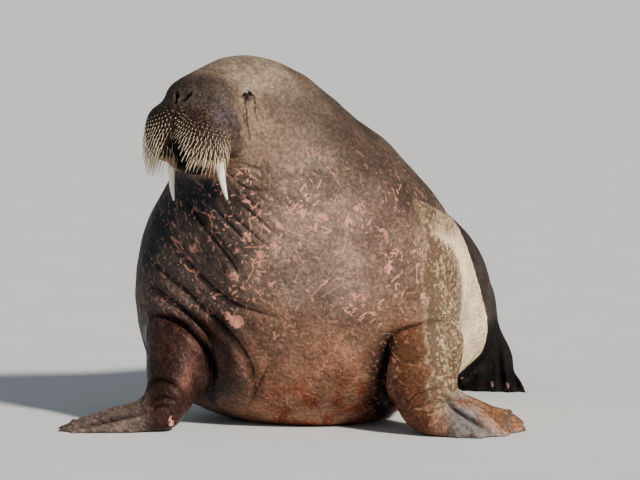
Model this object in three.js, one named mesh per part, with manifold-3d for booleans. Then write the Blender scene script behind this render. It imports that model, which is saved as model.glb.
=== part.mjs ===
// A walrus sitting up on its foreflippers, life size, made as a still display model.
// Millimetres, +Z up. The chest faces -Y and the animal's left side is +X.
// The trunk, neck and head are one smooth field of blended solids, meshed in lengths and parted by thin cuts.
import * as THREE from 'three';
import { mergeVertices } from 'three/addons/utils/BufferGeometryUtils.js';
import Module from 'manifold-3d';

const wasm = await Module();
wasm.setup();

// Gap that touching nodes keep, half on each side of a cut.
const GAP = 0.3;
const HALF_GAP = GAP / 2;
// Swelling of a solid before it is cut from its neighbour, enough to keep the gap at its edges too.
const CLEARANCE = 0.5;
const PAD_CLEARANCE = 2.3;

// Cell sizes of the meshed fields.
const TRUNK_CELL = 78;
const HEAD_CELL = 28.6;
const PAD_CELL = 26;
const ARM_CELL = 42;
const CHIN_CELL = 26;

// Blend widths between neighbouring masses.
const TRUNK_BLEND = 170;
const NECK_BLEND = 110;
const FACE_BLEND = 42;

// Trunk masses: centre and half sizes.
const RUMP = { centre: [-5, 1110, 285], radii: [310, 400, 325] };
const BELLY = { centre: [-25, 560, 400], radii: [466, 580, 428] };
const BACK = { centre: [-55, 300, 555], radii: [430, 390, 365] };
const CHEST = { centre: [-85, 50, 548], radii: [580, 440, 535] };
const BRISKET = { centre: [-130, 85, 255], radii: [470, 350, 285] };
const SHOULDERS = { centre: [-135, -95, 735], radii: [455, 365, 415] };
const RIGHT_SHOULDER = { centre: [-468, -100, 445], radii: [212, 250, 340] };
const NAPE = { centre: [-125, -150, 1072], radii: [225, 225, 205] };
const NECK = { from: [-125, -130, 900], to: [-184, -215, 1112], fromRadius: 378, toRadius: 240 };

// Head frame: midway between the eyes, turned to the animal's right.
const HEAD_PLACE = [-264, -412, 1229];
const HEAD_TURN = THREE.MathUtils.degToRad(-27);
const CRANIUM = { centre: [0, 78, -10], radii: [137, 180, 148] };
const FOREHEAD = { centre: [0, -22, 6], radii: [112, 130, 98] };
const SNOUT = { centre: [0, -66, -38], radii: [156, 102, 108], squareness: 3.1 };
const CHEEK = { centre: [94, -12, -136], radii: [88, 118, 104] };
const BROW = { centre: [96, 4, 28], radii: [28, 42, 22] };
const THROAT = { centre: [0, 60, -170], radii: [130, 170, 120] };

// Muzzle pads, which carry the whiskers.
const PAD = { centre: [87, -122, -126], radii: [106, 106, 111], squareness: 2.6 };
const WHISKER_ROWS = 7;
const WHISKERS_IN_LONGEST_ROW = 9;
const WHISKER_SHORTEST = 14;
const WHISKER_LONGEST = 92;
const WHISKER_RADIUS = 1.9;

const CHIN = { centre: [0, -104, -228], radii: [92, 92, 50] };
// The eyes stand a little proud of the face, with a lid above and below.
const EYE = { depth: 2, height: 18, radius: 17, proud: 7 };
const LID = { radius: 19, thickness: 6.5, reach: 7 };
const NOSTRIL = { across: 24, level: 2, height: 34, width: 8 };
const EAR = { centre: [172, 150, 40], radius: 9 };
const TUSK = { root: [128, -106, -190], length: { left: 174, right: 194 }, radius: 15.5, splay: 6, curve: 34 };

// Each arm is a tapered column from the shoulder to the wrist.
const ARMS = {
  right: { shoulder: [-455, -262, 330], shoulderRadius: 150, wrist: [-468, -388, 105], wristRadius: 88 },
  left: { shoulder: [395, -80, 320], shoulderRadius: 172, wrist: [440, -155, 115], wristRadius: 108 },
};

// Foreflippers: the heading is the ground direction of the middle digit, in degrees from +X.
const FOREFLIPPERS = {
  right: { heading: 196, spread: 18, lengths: [370, 405, 422, 422, 390], rootHalfWidth: 78, rootHeight: 138, tipHeight: 15 },
  left: { heading: 28, spread: 42, lengths: [250, 320, 385, 440, 445], rootHalfWidth: 98, rootHeight: 180, tipHeight: 44 },
};

// Hind legs and flippers, folded forward under the rump.
const HIND_LEGS = {
  right: { hip: [-215, 1190, 200], hipRadius: 160, ankle: [-335, 1215, 100], ankleRadius: 84 },
  left: { hip: [165, 1190, 200], hipRadius: 165, ankle: [285, 1215, 105], ankleRadius: 86 },
};
const HIND_FLIPPERS = {
  right: { heading: 240, spread: 30, lengths: [230, 215, 210, 225, 255], rootHalfWidth: 74, rootHeight: 140, tipHeight: 15 },
  left: { heading: 284, spread: 34, lengths: [230, 215, 210, 225, 255], rootHalfWidth: 78, rootHeight: 150, tipHeight: 15 },
};
const TAIL = { root: [10, 1440, 170], tip: [12, 1545, 95], rootRadius: 60, tipRadius: 22 };

// Cutting planes along the body, each by a point and a normal that points towards the head.
const NECK_CUT = { point: [-60, -110, 905], normal: [-0.25, -0.42, 0.87] };
const HEAD_CUT = { point: [-205, -270, 1160], normal: [-0.27, -0.8, 0.54] };
const BELLY_CUT = { point: [0, 330, 500], normal: [0, -0.96, 0.28] };
const RUMP_CUT = { point: [0, 900, 400], normal: [0, -0.97, 0.24] };

const COLOURS = {
  hide: 0x6d5648,
  pale_hide: 0x8a7460,
  muzzle: 0x4f4038,
  flipper: 0x3b2f2b,
  ivory: 0xe9dfc4,
  eye: 0x15100e,
};

// Small vector helpers on plain arrays.
const add = (a, b) => [a[0] + b[0], a[1] + b[1], a[2] + b[2]];
const take = (a, b) => [a[0] - b[0], a[1] - b[1], a[2] - b[2]];
const scale = (a, k) => [a[0] * k, a[1] * k, a[2] * k];
const dot = (a, b) => a[0] * b[0] + a[1] * b[1] + a[2] * b[2];
const unit = (a) => scale(a, 1 / Math.hypot(...a));
const cross = (a, b) => [a[1] * b[2] - a[2] * b[1], a[2] * b[0] - a[0] * b[2], a[0] * b[1] - a[1] * b[0]];
const lerp = (a, b, t) => a + (b - a) * t;
const mix = (a, b, t) => [lerp(a[0], b[0], t), lerp(a[1], b[1], t), lerp(a[2], b[2], t)];
const mirrored = (p, side) => [p[0] * side, p[1], p[2]];

// Distance fields: negative inside.
function ellipsoid({ centre, radii }) {
  return (p) => {
    const d = take(p, centre);
    const outer = Math.hypot(d[0] / radii[0], d[1] / radii[1], d[2] / radii[2]);
    const slope = Math.hypot(d[0] / radii[0] ** 2, d[1] / radii[1] ** 2, d[2] / radii[2] ** 2);
    return slope < 1e-9 ? -Math.min(...radii) : (outer * (outer - 1)) / slope;
  };
}

function taperedColumn({ from, to, fromRadius, toRadius }) {
  const axis = take(to, from);
  const length2 = dot(axis, axis);
  return (p) => {
    const t = Math.min(1, Math.max(0, dot(take(p, from), axis) / length2));
    return Math.hypot(...take(p, mix(from, to, t))) - lerp(fromRadius, toRadius, t);
  };
}

function squaredEllipsoid({ centre, radii, squareness }) {
  return (p) => {
    const sum = p.reduce((s, v, i) => s + Math.abs((v - centre[i]) / radii[i]) ** squareness, 0);
    return (sum ** (1 / squareness) - 1) * Math.min(...radii);
  };
}

function blend(fields, width) {
  return (p) => {
    let d = fields[0](p);
    for (let i = 1; i < fields.length; i += 1) {
      const e = fields[i](p);
      const h = Math.max(width - Math.abs(d - e), 0) / width;
      d = Math.min(d, e) - (h * h * width) / 4;
    }
    return d;
  };
}

// The head frame turns about the vertical only.
const HEAD_COS = Math.cos(HEAD_TURN);
const HEAD_SIN = Math.sin(HEAD_TURN);
function toHead(p) {
  const d = take(p, HEAD_PLACE);
  return [d[0] * HEAD_COS + d[1] * HEAD_SIN, -d[0] * HEAD_SIN + d[1] * HEAD_COS, d[2]];
}
function fromHead(p) {
  return add([p[0] * HEAD_COS - p[1] * HEAD_SIN, p[0] * HEAD_SIN + p[1] * HEAD_COS, p[2]], HEAD_PLACE);
}
const inHeadFrame = (field) => (p) => field(toHead(p));

function bothSides(shape) {
  return [ellipsoid(shape), ellipsoid({ ...shape, centre: mirrored(shape.centre, -1) })];
}

const trunkField = blend([RUMP, BELLY, BACK, CHEST, BRISKET, SHOULDERS, RIGHT_SHOULDER].map(ellipsoid), TRUNK_BLEND);
const faceField = blend(
  [ellipsoid(CRANIUM), ellipsoid(FOREHEAD), squaredEllipsoid(SNOUT), ...bothSides(CHEEK), ellipsoid(THROAT), ...bothSides(BROW)],
  FACE_BLEND,
);
const bodyField = blend([trunkField, taperedColumn(NECK), ellipsoid(NAPE), inHeadFrame(faceField)], NECK_BLEND);

// Meshes a field on a grid, and shifts the grid where a fold of the surface falls badly in its cells.
function meshField(field, low, high, cell) {
  const shifts = [0, 0.23, 0.41, 0.59, 0.77];
  for (const shift of shifts) {
    const moved = low.map((v, i) => v - cell * shift * (1 + 0.13 * i));
    try {
      return gridMesh(field, moved, high, cell);
    } catch (error) {
      if (shift === shifts.at(-1)) throw error;
    }
  }
  return null;
}

// One vertex in each cell that the surface crosses, moved onto the surface.
function gridMesh(field, low, high, cell) {
  const count = [0, 1, 2].map((i) => Math.ceil((high[i] - low[i]) / cell) + 1);
  const at = (i, j, k) => [low[0] + i * cell, low[1] + j * cell, low[2] + k * cell];
  const index = (i, j, k) => i + count[0] * (j + count[1] * k);
  const value = new Float64Array(count[0] * count[1] * count[2]);
  for (let k = 0; k < count[2]; k += 1) {
    for (let j = 0; j < count[1]; j += 1) {
      for (let i = 0; i < count[0]; i += 1) {
        value[index(i, j, k)] = field(at(i, j, k)) || 1e-6;
      }
    }
  }
  const corner = [0, 1, 2, 3, 4, 5, 6, 7].map((c) => [c & 1, (c >> 1) & 1, c >> 2]);
  const positions = [];
  const cellVertex = new Map();
  for (let k = 0; k < count[2] - 1; k += 1) {
    for (let j = 0; j < count[1] - 1; j += 1) {
      for (let i = 0; i < count[0] - 1; i += 1) {
        const v = corner.map(([a, b, c]) => value[index(i + a, j + b, k + c)]);
        const inside = v.filter((x) => x < 0).length;
        if (inside === 0 || inside === 8) continue;
        let sum = [0, 0, 0];
        let crossings = 0;
        for (let a = 0; a < 8; a += 1) {
          for (const bit of [1, 2, 4]) {
            const b = a | bit;
            if (b === a || v[a] < 0 === v[b] < 0) continue;
            sum = add(sum, mix(corner[a], corner[b], v[a] / (v[a] - v[b])));
            crossings += 1;
          }
        }
        const centre = scale(sum, 1 / crossings);
        cellVertex.set(index(i, j, k), positions.length);
        positions.push(onSurface(field, add(at(i, j, k), scale(centre, cell)), cell));
      }
    }
  }
  const triangles = [];
  const quad = (a, b, c, d, outward) => {
    const [p, q, r, s] = (outward ? [a, b, c, d] : [d, c, b, a]).map((n) => cellVertex.get(n));
    const off = (v, w) => Math.abs(field(mix(positions[v], positions[w], 0.5)));
    if (off(p, r) <= off(q, s)) triangles.push(p, q, r, p, r, s);
    else triangles.push(q, r, s, q, s, p);
  };
  for (let k = 1; k < count[2] - 1; k += 1) {
    for (let j = 1; j < count[1] - 1; j += 1) {
      for (let i = 1; i < count[0] - 1; i += 1) {
        const here = value[index(i, j, k)] < 0;
        const [alongX, alongY, alongZ] = [
          value[index(i + 1, j, k)] < 0,
          value[index(i, j + 1, k)] < 0,
          value[index(i, j, k + 1)] < 0,
        ];
        if (here !== alongX) {
          quad(index(i, j - 1, k - 1), index(i, j, k - 1), index(i, j, k), index(i, j - 1, k), here);
        }
        if (here !== alongY) {
          quad(index(i - 1, j, k - 1), index(i - 1, j, k), index(i, j, k), index(i, j, k - 1), here);
        }
        if (here !== alongZ) {
          quad(index(i - 1, j - 1, k), index(i, j - 1, k), index(i, j, k), index(i - 1, j, k), here);
        }
      }
    }
  }
  return solidOf(positions.flat(), triangles);
}

function gradient(field, p) {
  const h = 0.5;
  const slope = [0, 1, 2].map((i) => {
    const step = [0, 0, 0];
    step[i] = h;
    return (field(add(p, step)) - field(take(p, step))) / (2 * h);
  });
  return slope;
}

// Two short steps down the field's slope, each at most a third of a cell.
function onSurface(field, start, cell) {
  let p = start;
  for (let n = 0; n < 2; n += 1) {
    const g = gradient(field, p);
    const size2 = Math.max(dot(g, g), 1e-6);
    const step = scale(g, -field(p) / size2);
    const length = Math.hypot(...step);
    p = add(p, length > cell / 3 ? scale(step, cell / 3 / length) : step);
  }
  return p;
}

function solidOf(positions, triangles) {
  const mesh = new wasm.Mesh({
    numProp: 3,
    vertProperties: Float32Array.from(positions),
    triVerts: Uint32Array.from(triangles),
  });
  return new wasm.Manifold(mesh);
}

// The largest closed surface of a solid.
function largest(solid) {
  const pieces = solid.decompose().sort((a, b) => b.volume() - a.volume());
  return pieces[0];
}

// A three.js geometry as a solid.
function geometrySolid(geometry) {
  const bare = geometry.clone();
  bare.deleteAttribute('normal');
  bare.deleteAttribute('uv');
  const merged = mergeVertices(bare, 1e-3);
  return solidOf(merged.attributes.position.array, merged.index.array);
}

// The same solid with its surface moved out along its normals.
function swollen(solid, distance) {
  const mesh = solid.getMesh();
  const points = mesh.vertProperties;
  const normals = new Float64Array(points.length);
  for (let t = 0; t < mesh.triVerts.length; t += 3) {
    const corners = [0, 1, 2].map((c) => mesh.triVerts[t + c]);
    const [a, b, c] = corners.map((v) => [points[v * 3], points[v * 3 + 1], points[v * 3 + 2]]);
    const n = cross(take(b, a), take(c, a));
    for (const v of corners) for (let i = 0; i < 3; i += 1) normals[v * 3 + i] += n[i];
  }
  const moved = [];
  for (let v = 0; v < points.length; v += 3) {
    const n = unit([normals[v], normals[v + 1], normals[v + 2]]);
    moved.push(points[v] + n[0] * distance, points[v + 1] + n[1] * distance, points[v + 2] + n[2] * distance);
  }
  return solidOf(moved, mesh.triVerts);
}

// The length of a solid between two cutting planes, resting on the floor.
function between(solid, behind, ahead) {
  let cut = solid;
  if (ahead) {
    const n = unit(ahead.normal);
    cut = cut.trimByPlane(scale(n, -1), -dot(n, ahead.point) + HALF_GAP);
  }
  if (behind) {
    const n = unit(behind.normal);
    cut = cut.trimByPlane(n, dot(n, behind.point) + HALF_GAP);
  }
  return onFloor(cut);
}

const onFloor = (solid) => largest(solid.trimByPlane([0, 0, 1], 0));

// A round bar along a list of points, with a radius at each, closed by flat ends or a point.
function taperedBar(points, radii, sides) {
  const positions = [];
  const rings = [];
  let across = cross(unit(take(points[1], points[0])), [0.31, 0.17, 0.93]);
  points.forEach((p, n) => {
    const ahead = unit(take(points[Math.min(n + 1, points.length - 1)], points[Math.max(n - 1, 0)]));
    across = unit(take(across, scale(ahead, dot(across, ahead))));
    const up = cross(ahead, across);
    const ring = [];
    const corners = radii[n] > 0 ? sides : 1;
    for (let s = 0; s < corners; s += 1) {
      const a = (2 * Math.PI * s) / sides;
      const offset = add(scale(across, Math.cos(a) * radii[n]), scale(up, Math.sin(a) * radii[n]));
      ring.push(positions.length / 3);
      positions.push(...add(p, offset));
    }
    rings.push(ring);
  });
  const triangles = [];
  for (let n = 0; n + 1 < rings.length; n += 1) {
    const [a, b] = [rings[n], rings[n + 1]];
    for (let s = 0; s < sides; s += 1) {
      const t = (s + 1) % sides;
      if (b.length === 1) triangles.push(a[s], a[t], b[0]);
      else triangles.push(a[s], a[t], b[t], a[s], b[t], b[s]);
    }
  }
  const cap = (ring, flipped) => {
    for (let s = 1; s + 1 < ring.length; s += 1) {
      triangles.push(...(flipped ? [ring[0], ring[s + 1], ring[s]] : [ring[0], ring[s], ring[s + 1]]));
    }
  };
  cap(rings[0], true);
  if (rings.at(-1).length > 1) cap(rings.at(-1), false);
  return solidOf(positions, triangles);
}

// Where a ray that starts inside a field leaves it.
function wayOut(field, from, way, near, far) {
  let [inside, outside] = [near, far];
  for (let n = 0; n < 30; n += 1) {
    const middle = (inside + outside) / 2;
    if (field(add(from, scale(way, middle))) < 0) inside = middle;
    else outside = middle;
  }
  return inside;
}

// The head's own features: eyes, lids, nostrils and ear pits.
const headFrameField = (p) => bodyField(fromHead(p));
function eyeCentre(side) {
  const level = [0, EYE.depth, EYE.height];
  const reach = wayOut(headFrameField, level, [side, 0, 0], 60, 260);
  return add(level, [side * (reach - EYE.radius + EYE.proud), 0, 0]);
}

function lid(side, above) {
  const centre = eyeCentre(side);
  const points = [];
  const radii = [];
  const steps = 6;
  for (let n = 0; n <= steps; n += 1) {
    const a = Math.PI * (n / steps);
    const bulge = Math.sin(a);
    points.push([
      centre[0] + LID.reach * (0.2 + bulge) * side,
      centre[1] - Math.cos(a) * (LID.radius + 5),
      centre[2] + above * bulge * (LID.radius - 7),
    ]);
    radii.push(LID.thickness * (0.55 + 0.45 * bulge));
  }
  return taperedBar(points, radii, 6);
}

function nostril(side) {
  const points = [];
  const radii = [];
  const steps = 4;
  for (let n = 0; n <= steps; n += 1) {
    const t = n / steps - 0.5;
    const x = (NOSTRIL.across + 28 * (t + 0.5) ** 2) * side;
    const z = NOSTRIL.level + t * NOSTRIL.height;
    const front = wayOut(headFrameField, [x, 0, z], [0, -1, 0], 60, 260);
    points.push([x, -front, z]);
    radii.push(NOSTRIL.width * (1 - 1.6 * t * t));
  }
  return taperedBar(points, radii, 6);
}

function earPit(side) {
  const from = mirrored([EAR.centre[0] + 20, EAR.centre[1], EAR.centre[2]], side);
  const to = mirrored([EAR.centre[0] - 18, EAR.centre[1] - 8, EAR.centre[2] - 4], side);
  return taperedBar([from, to], [EAR.radius * 1.4, EAR.radius * 0.6], 8);
}

const headMatrix = new THREE.Matrix4()
  .makeRotationZ(HEAD_TURN)
  .setPosition(...HEAD_PLACE);
const fromHeadFrame = (solid) => solid.transform(headMatrix.elements);

// A flat fan of five digits with a raised ridge along each and a scalloped edge.
function flipper({ heading, spread, lengths, rootHalfWidth, rootHeight, tipHeight }, wrist) {
  const along = 7;
  const across = 16;
  const turn = THREE.MathUtils.degToRad(heading);
  const fan = THREE.MathUtils.degToRad(spread);
  const rimHeight = 4;
  const positions = [];
  const digit = (v) => (v + 1) * 2;
  const reach = (v) => {
    const d = digit(v);
    const n = Math.min(3, Math.floor(d));
    const between = lerp(lengths[n], lengths[n + 1], d - n);
    return between * (1 - 0.1 * Math.sin(Math.PI * (d - n)) ** 2);
  };
  const place = (u, v, top) => {
    const a = v * fan;
    const root = [-30, v * rootHalfWidth];
    const tip = [reach(v) * Math.cos(a), reach(v) * Math.sin(a)];
    const x = lerp(root[0], tip[0], u);
    const y = lerp(root[1], tip[1], u);
    const ridge = 0.5 + 0.5 * Math.cos(2 * Math.PI * digit(v));
    const dome = Math.sqrt(Math.max(0, 1 - v * v * 0.96));
    const body = (rootHeight * (1 - u) ** 1.25 + tipHeight) * dome;
    const raised = 9 * ridge * Math.sin(Math.PI * Math.min(1, u * 0.92)) * dome;
    const height = top ? rimHeight + (body + raised) * (u > 0.999 ? 0.25 : 1) : 0;
    return [
      wrist[0] + x * Math.cos(turn) - y * Math.sin(turn),
      wrist[1] + x * Math.sin(turn) + y * Math.cos(turn),
      height,
    ];
  };
  const index = (i, j, top) => (top ? 0 : (along + 1) * (across + 1)) + i * (across + 1) + j;
  for (const top of [true, false]) {
    for (let i = 0; i <= along; i += 1) {
      for (let j = 0; j <= across; j += 1) positions.push(...place(i / along, (2 * j) / across - 1, top));
    }
  }
  const triangles = [];
  const face = (a, b, c, d) => triangles.push(a, b, c, a, c, d);
  for (let i = 0; i < along; i += 1) {
    for (let j = 0; j < across; j += 1) {
      face(index(i, j, true), index(i + 1, j, true), index(i + 1, j + 1, true), index(i, j + 1, true));
      face(index(i, j, false), index(i, j + 1, false), index(i + 1, j + 1, false), index(i + 1, j, false));
    }
    face(index(i, 0, false), index(i + 1, 0, false), index(i + 1, 0, true), index(i, 0, true));
    face(index(i, across, true), index(i + 1, across, true), index(i + 1, across, false), index(i, across, false));
  }
  for (let j = 0; j < across; j += 1) {
    face(index(0, j, true), index(0, j + 1, true), index(0, j + 1, false), index(0, j, false));
    face(index(along, j, false), index(along, j + 1, false), index(along, j + 1, true), index(along, j, true));
  }
  return solidOf(positions, triangles);
}

// Whiskers of one pad: short at the top, long at the bottom and the outer corner, all hanging down.
const padField = (side) => squaredEllipsoid({ ...PAD, centre: mirrored(PAD.centre, side) });

function whisker(side, row, share) {
  const field = padField(side);
  const down = row / (WHISKER_ROWS - 1);
  const sweep = lerp(-0.62, 1.25, share);
  const drop = lerp(0.42, -0.86, down);
  const way = unit([
    Math.sin(sweep) * side * Math.cos(drop),
    -Math.cos(sweep) * Math.cos(drop),
    Math.sin(drop),
  ]);
  const centre = mirrored(PAD.centre, side);
  const root = add(centre, scale(way, wayOut(field, centre, way, 20, 200)));
  const normal = unit(gradient(field, root));
  const length = lerp(WHISKER_SHORTEST, WHISKER_LONGEST, down ** 1.3 * lerp(0.62, 1, share));
  const hang = unit([side * lerp(-0.04, 0.16, share), -0.16, -1]);
  const start = add(root, scale(normal, -11));
  const bend = add(root, scale(unit(add(scale(normal, 0.75), scale(hang, 0.5))), length * 0.3));
  const tip = add(bend, scale(unit(add(hang, scale(normal, 0.08))), length * 0.75));
  return taperedBar([start, bend, tip], [WHISKER_RADIUS, WHISKER_RADIUS * 0.8, 0], 3);
}

function whiskers(side) {
  const made = [];
  for (let row = 0; row < WHISKER_ROWS; row += 1) {
    const count = WHISKERS_IN_LONGEST_ROW - (row % 2);
    for (let n = 0; n < count; n += 1) made.push(whisker(side, row, (n + 0.5) / count));
  }
  return made;
}

// Nodes, in the order that each is cut by those made before it.
const made = new Map();
function keep(name, solid, colour) {
  made.set(name, { solid: largest(solid), colour });
  return made.get(name).solid;
}

const whole = meshField(bodyField, [-780, -900, -260], [780, 1700, 1560], TRUNK_CELL);
const rump = keep('rump', between(whole, null, RUMP_CUT), COLOURS.hide);
const belly = keep('belly', between(whole, RUMP_CUT, BELLY_CUT), COLOURS.pale_hide);
const chest = keep('chest', between(whole, BELLY_CUT, NECK_CUT), COLOURS.hide);
keep('neck', between(whole, NECK_CUT, HEAD_CUT), COLOURS.hide);

// The head is meshed finer, a little past its cut.
const headBack = unit(HEAD_CUT.normal);
const headField = (p) => Math.max(bodyField(p), -dot(take(p, HEAD_CUT.point), headBack) - HEAD_CELL * 2);
const headWhole = meshField(headField, [-700, -900, 400], [400, 200, 1520], HEAD_CELL);

const SIDES = { left: 1, right: -1 };
const headTools = Object.values(SIDES).map((side) => fromHeadFrame(nostril(side).add(earPit(side))));
const lids = Object.values(SIDES).map((side) => fromHeadFrame(lid(side, 1).add(lid(side, -1))));
let head = between(headWhole, HEAD_CUT, null);
for (const tool of headTools) head = head.subtract(tool);

const eyes = {};
for (const [name, side] of Object.entries(SIDES)) {
  const ball = new THREE.SphereGeometry(EYE.radius, 10, 8).rotateX(Math.PI / 2);
  ball.translate(...eyeCentre(side));
  eyes[name] = fromHeadFrame(geometrySolid(ball));
}
for (const l of lids) head = head.add(l);
for (const name of Object.keys(SIDES)) head = head.subtract(swollen(eyes[name], CLEARANCE));
head = keep('head', head, COLOURS.hide);
for (const name of Object.keys(SIDES)) keep(`eye_${name}`, eyes[name], COLOURS.eye);

const headSwollen = swollen(head, CLEARANCE);
const tusks = {};
for (const [name, side] of Object.entries(SIDES)) {
  const points = [];
  const radii = [];
  const steps = 7;
  for (let n = 0; n <= steps; n += 1) {
    const t = n / steps;
    const splay = Math.sin(THREE.MathUtils.degToRad(TUSK.splay));
    points.push([
      (TUSK.root[0] + splay * TUSK.length[name] * t) * side,
      TUSK.root[1] - 10 * t + TUSK.curve * t * t,
      TUSK.root[2] - TUSK.length[name] * t,
    ]);
    radii.push(n === steps ? 0 : TUSK.radius * Math.sqrt(1 - t ** 2.2));
  }
  tusks[name] = fromHeadFrame(taperedBar(points, radii, 10));
}

const mouthBox = [[-220, -260, -330], [220, 60, 60]];
for (const [name, side] of Object.entries(SIDES)) {
  let pad = meshField(padField(side), mouthBox[0], mouthBox[1], PAD_CELL);
  for (const w of whiskers(side)) pad = pad.add(w);
  pad = pad.trimByPlane([side, 0, 0], HALF_GAP);
  pad = fromHeadFrame(pad).subtract(headSwollen).subtract(swollen(tusks[name], CLEARANCE));
  keep(`muzzle_pad_${name}`, pad, COLOURS.muzzle);
}

let chin = fromHeadFrame(meshField(ellipsoid(CHIN), mouthBox[0], mouthBox[1], CHIN_CELL));
chin = chin.subtract(headSwollen);
for (const [name, side] of Object.entries(SIDES)) {
  const bare = fromHeadFrame(meshField(padField(side), mouthBox[0], mouthBox[1], PAD_CELL));
  chin = chin.subtract(swollen(bare, PAD_CLEARANCE)).subtract(swollen(tusks[name], CLEARANCE));
}
keep('chin', chin, COLOURS.muzzle);
for (const name of Object.keys(SIDES)) {
  const tusk = tusks[name].subtract(headSwollen);
  keep(`tusk_${name}`, tusk, COLOURS.ivory);
}

const trunkSwollen = [chest, belly, rump].map((s) => swollen(s, CLEARANCE));
const withoutTrunk = (solid) => trunkSwollen.reduce((s, t) => s.subtract(t), solid);

for (const name of Object.keys(SIDES)) {
  const shape = ARMS[name];
  const field = taperedColumn({
    from: shape.shoulder,
    to: shape.wrist,
    fromRadius: shape.shoulderRadius,
    toRadius: shape.wristRadius,
  });
  const reach = shape.shoulderRadius + ARM_CELL * 2;
  const corners = [shape.shoulder, shape.wrist];
  const low = [0, 1, 2].map((i) => Math.min(...corners.map((c) => c[i])) - reach);
  const high = [0, 1, 2].map((i) => Math.max(...corners.map((c) => c[i])) + reach);
  const arm = onFloor(withoutTrunk(meshField(field, low, high, ARM_CELL)));
  keep(`arm_${name}`, arm, COLOURS.pale_hide);
  const paddle = flipper(FOREFLIPPERS[name], [shape.wrist[0], shape.wrist[1]]);
  const cleared = withoutTrunk(paddle.subtract(swollen(arm, CLEARANCE)));
  keep(`foreflipper_${name}`, onFloor(cleared), COLOURS.flipper);
}

for (const name of Object.keys(SIDES)) {
  const shape = HIND_LEGS[name];
  const field = taperedColumn({
    from: shape.hip,
    to: shape.ankle,
    fromRadius: shape.hipRadius,
    toRadius: shape.ankleRadius,
  });
  const reach = shape.hipRadius + ARM_CELL * 2;
  const corners = [shape.hip, shape.ankle];
  const low = [0, 1, 2].map((i) => Math.min(...corners.map((c) => c[i])) - reach);
  const high = [0, 1, 2].map((i) => Math.max(...corners.map((c) => c[i])) + reach);
  const leg = onFloor(withoutTrunk(meshField(field, low, high, ARM_CELL)));
  keep(`hind_leg_${name}`, leg, COLOURS.hide);
  const paddle = flipper(HIND_FLIPPERS[name], [shape.ankle[0], shape.ankle[1]]);
  const cleared = withoutTrunk(paddle.subtract(swollen(leg, CLEARANCE)));
  keep(`hind_flipper_${name}`, onFloor(cleared), COLOURS.flipper);
}

const tailBar = taperedBar(
  [TAIL.root, mix(TAIL.root, TAIL.tip, 0.6), TAIL.tip],
  [TAIL.rootRadius, lerp(TAIL.rootRadius, TAIL.tipRadius, 0.5), TAIL.tipRadius * 0.6],
  10,
);
keep('tail', withoutTrunk(tailBar), COLOURS.hide);

function nodeMesh(name, solid, colour) {
  const { vertProperties, triVerts } = solid.getMesh();
  const geometry = new THREE.BufferGeometry();
  geometry.setAttribute('position', new THREE.BufferAttribute(vertProperties, 3));
  geometry.setIndex(new THREE.BufferAttribute(triVerts, 1));
  geometry.computeVertexNormals();
  const ivory = colour === COLOURS.ivory || colour === COLOURS.eye;
  const material = new THREE.MeshStandardMaterial({ color: colour, roughness: ivory ? 0.3 : 0.7, metalness: 0 });
  const mesh = new THREE.Mesh(geometry, material);
  mesh.name = name;
  return mesh;
}

// The origin lies on the floor, under the middle of the whole.
const boxes = [...made.values()].map(({ solid }) => solid.boundingBox());
const middle = [0, 1].map((i) => {
  const low = Math.min(...boxes.map((b) => b.min[i]));
  const high = Math.max(...boxes.map((b) => b.max[i]));
  return (low + high) / 2;
});
const walrus = new THREE.Group();
for (const [name, { solid, colour }] of made) {
  walrus.add(nodeMesh(name, solid.translate([-middle[0], -middle[1], 0]), colour));
}

export default walrus;
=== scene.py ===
"""The looks of a life-size walrus that sits up on its foreflippers, laid out as a Blender add-on."""
import math
import random

import bpy
import numpy as np
from bpy.props import FloatProperty, FloatVectorProperty, IntProperty, PointerProperty
from mathutils import Matrix, Vector, noise
from mathutils.bvhtree import BVHTree


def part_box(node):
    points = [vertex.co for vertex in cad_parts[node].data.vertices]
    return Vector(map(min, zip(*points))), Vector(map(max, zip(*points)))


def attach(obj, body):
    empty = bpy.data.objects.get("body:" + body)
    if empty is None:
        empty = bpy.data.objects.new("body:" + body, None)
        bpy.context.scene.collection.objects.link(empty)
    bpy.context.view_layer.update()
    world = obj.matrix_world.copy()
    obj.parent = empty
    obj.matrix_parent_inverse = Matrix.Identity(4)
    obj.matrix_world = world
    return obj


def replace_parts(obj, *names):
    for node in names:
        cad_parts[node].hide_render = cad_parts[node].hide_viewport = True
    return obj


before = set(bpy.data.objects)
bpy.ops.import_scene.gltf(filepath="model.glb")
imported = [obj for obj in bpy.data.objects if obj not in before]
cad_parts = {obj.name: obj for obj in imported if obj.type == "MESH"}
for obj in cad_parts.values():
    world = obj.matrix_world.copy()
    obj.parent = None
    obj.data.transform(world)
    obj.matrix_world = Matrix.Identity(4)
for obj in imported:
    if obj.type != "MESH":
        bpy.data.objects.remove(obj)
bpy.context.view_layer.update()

bl_info = {
    "name": "Walrus",
    "version": (1, 0, 0),
    "blender": (4, 5, 0),
    "location": "3D View > Sidebar > Walrus",
    "description": "Builds the hide, eyes, tusks, whiskers and nails of a life-size walrus",
    "category": "Object",
}

# The body's own frame: the chest faces -Y, the animal's left is +X, and heights are above the floor.
HEAD_TURN = math.radians(-27)
HEAD_PLACE = Vector((-0.264, -0.412, 1.229))
LEFT_EYE = Vector((0.1463, 0.002, 0.018))
EYE_RADIUS = 0.017


def eye_middle(side):
    low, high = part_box(f"eye_{side}")
    return (low + high) / 2


HEAD_ROTATION = Matrix.Rotation(HEAD_TURN, 3, "Z")
ORIGIN = eye_middle("left") - HEAD_ROTATION @ LEFT_EYE - HEAD_PLACE
HEAD_ROW = ORIGIN + HEAD_PLACE

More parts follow.
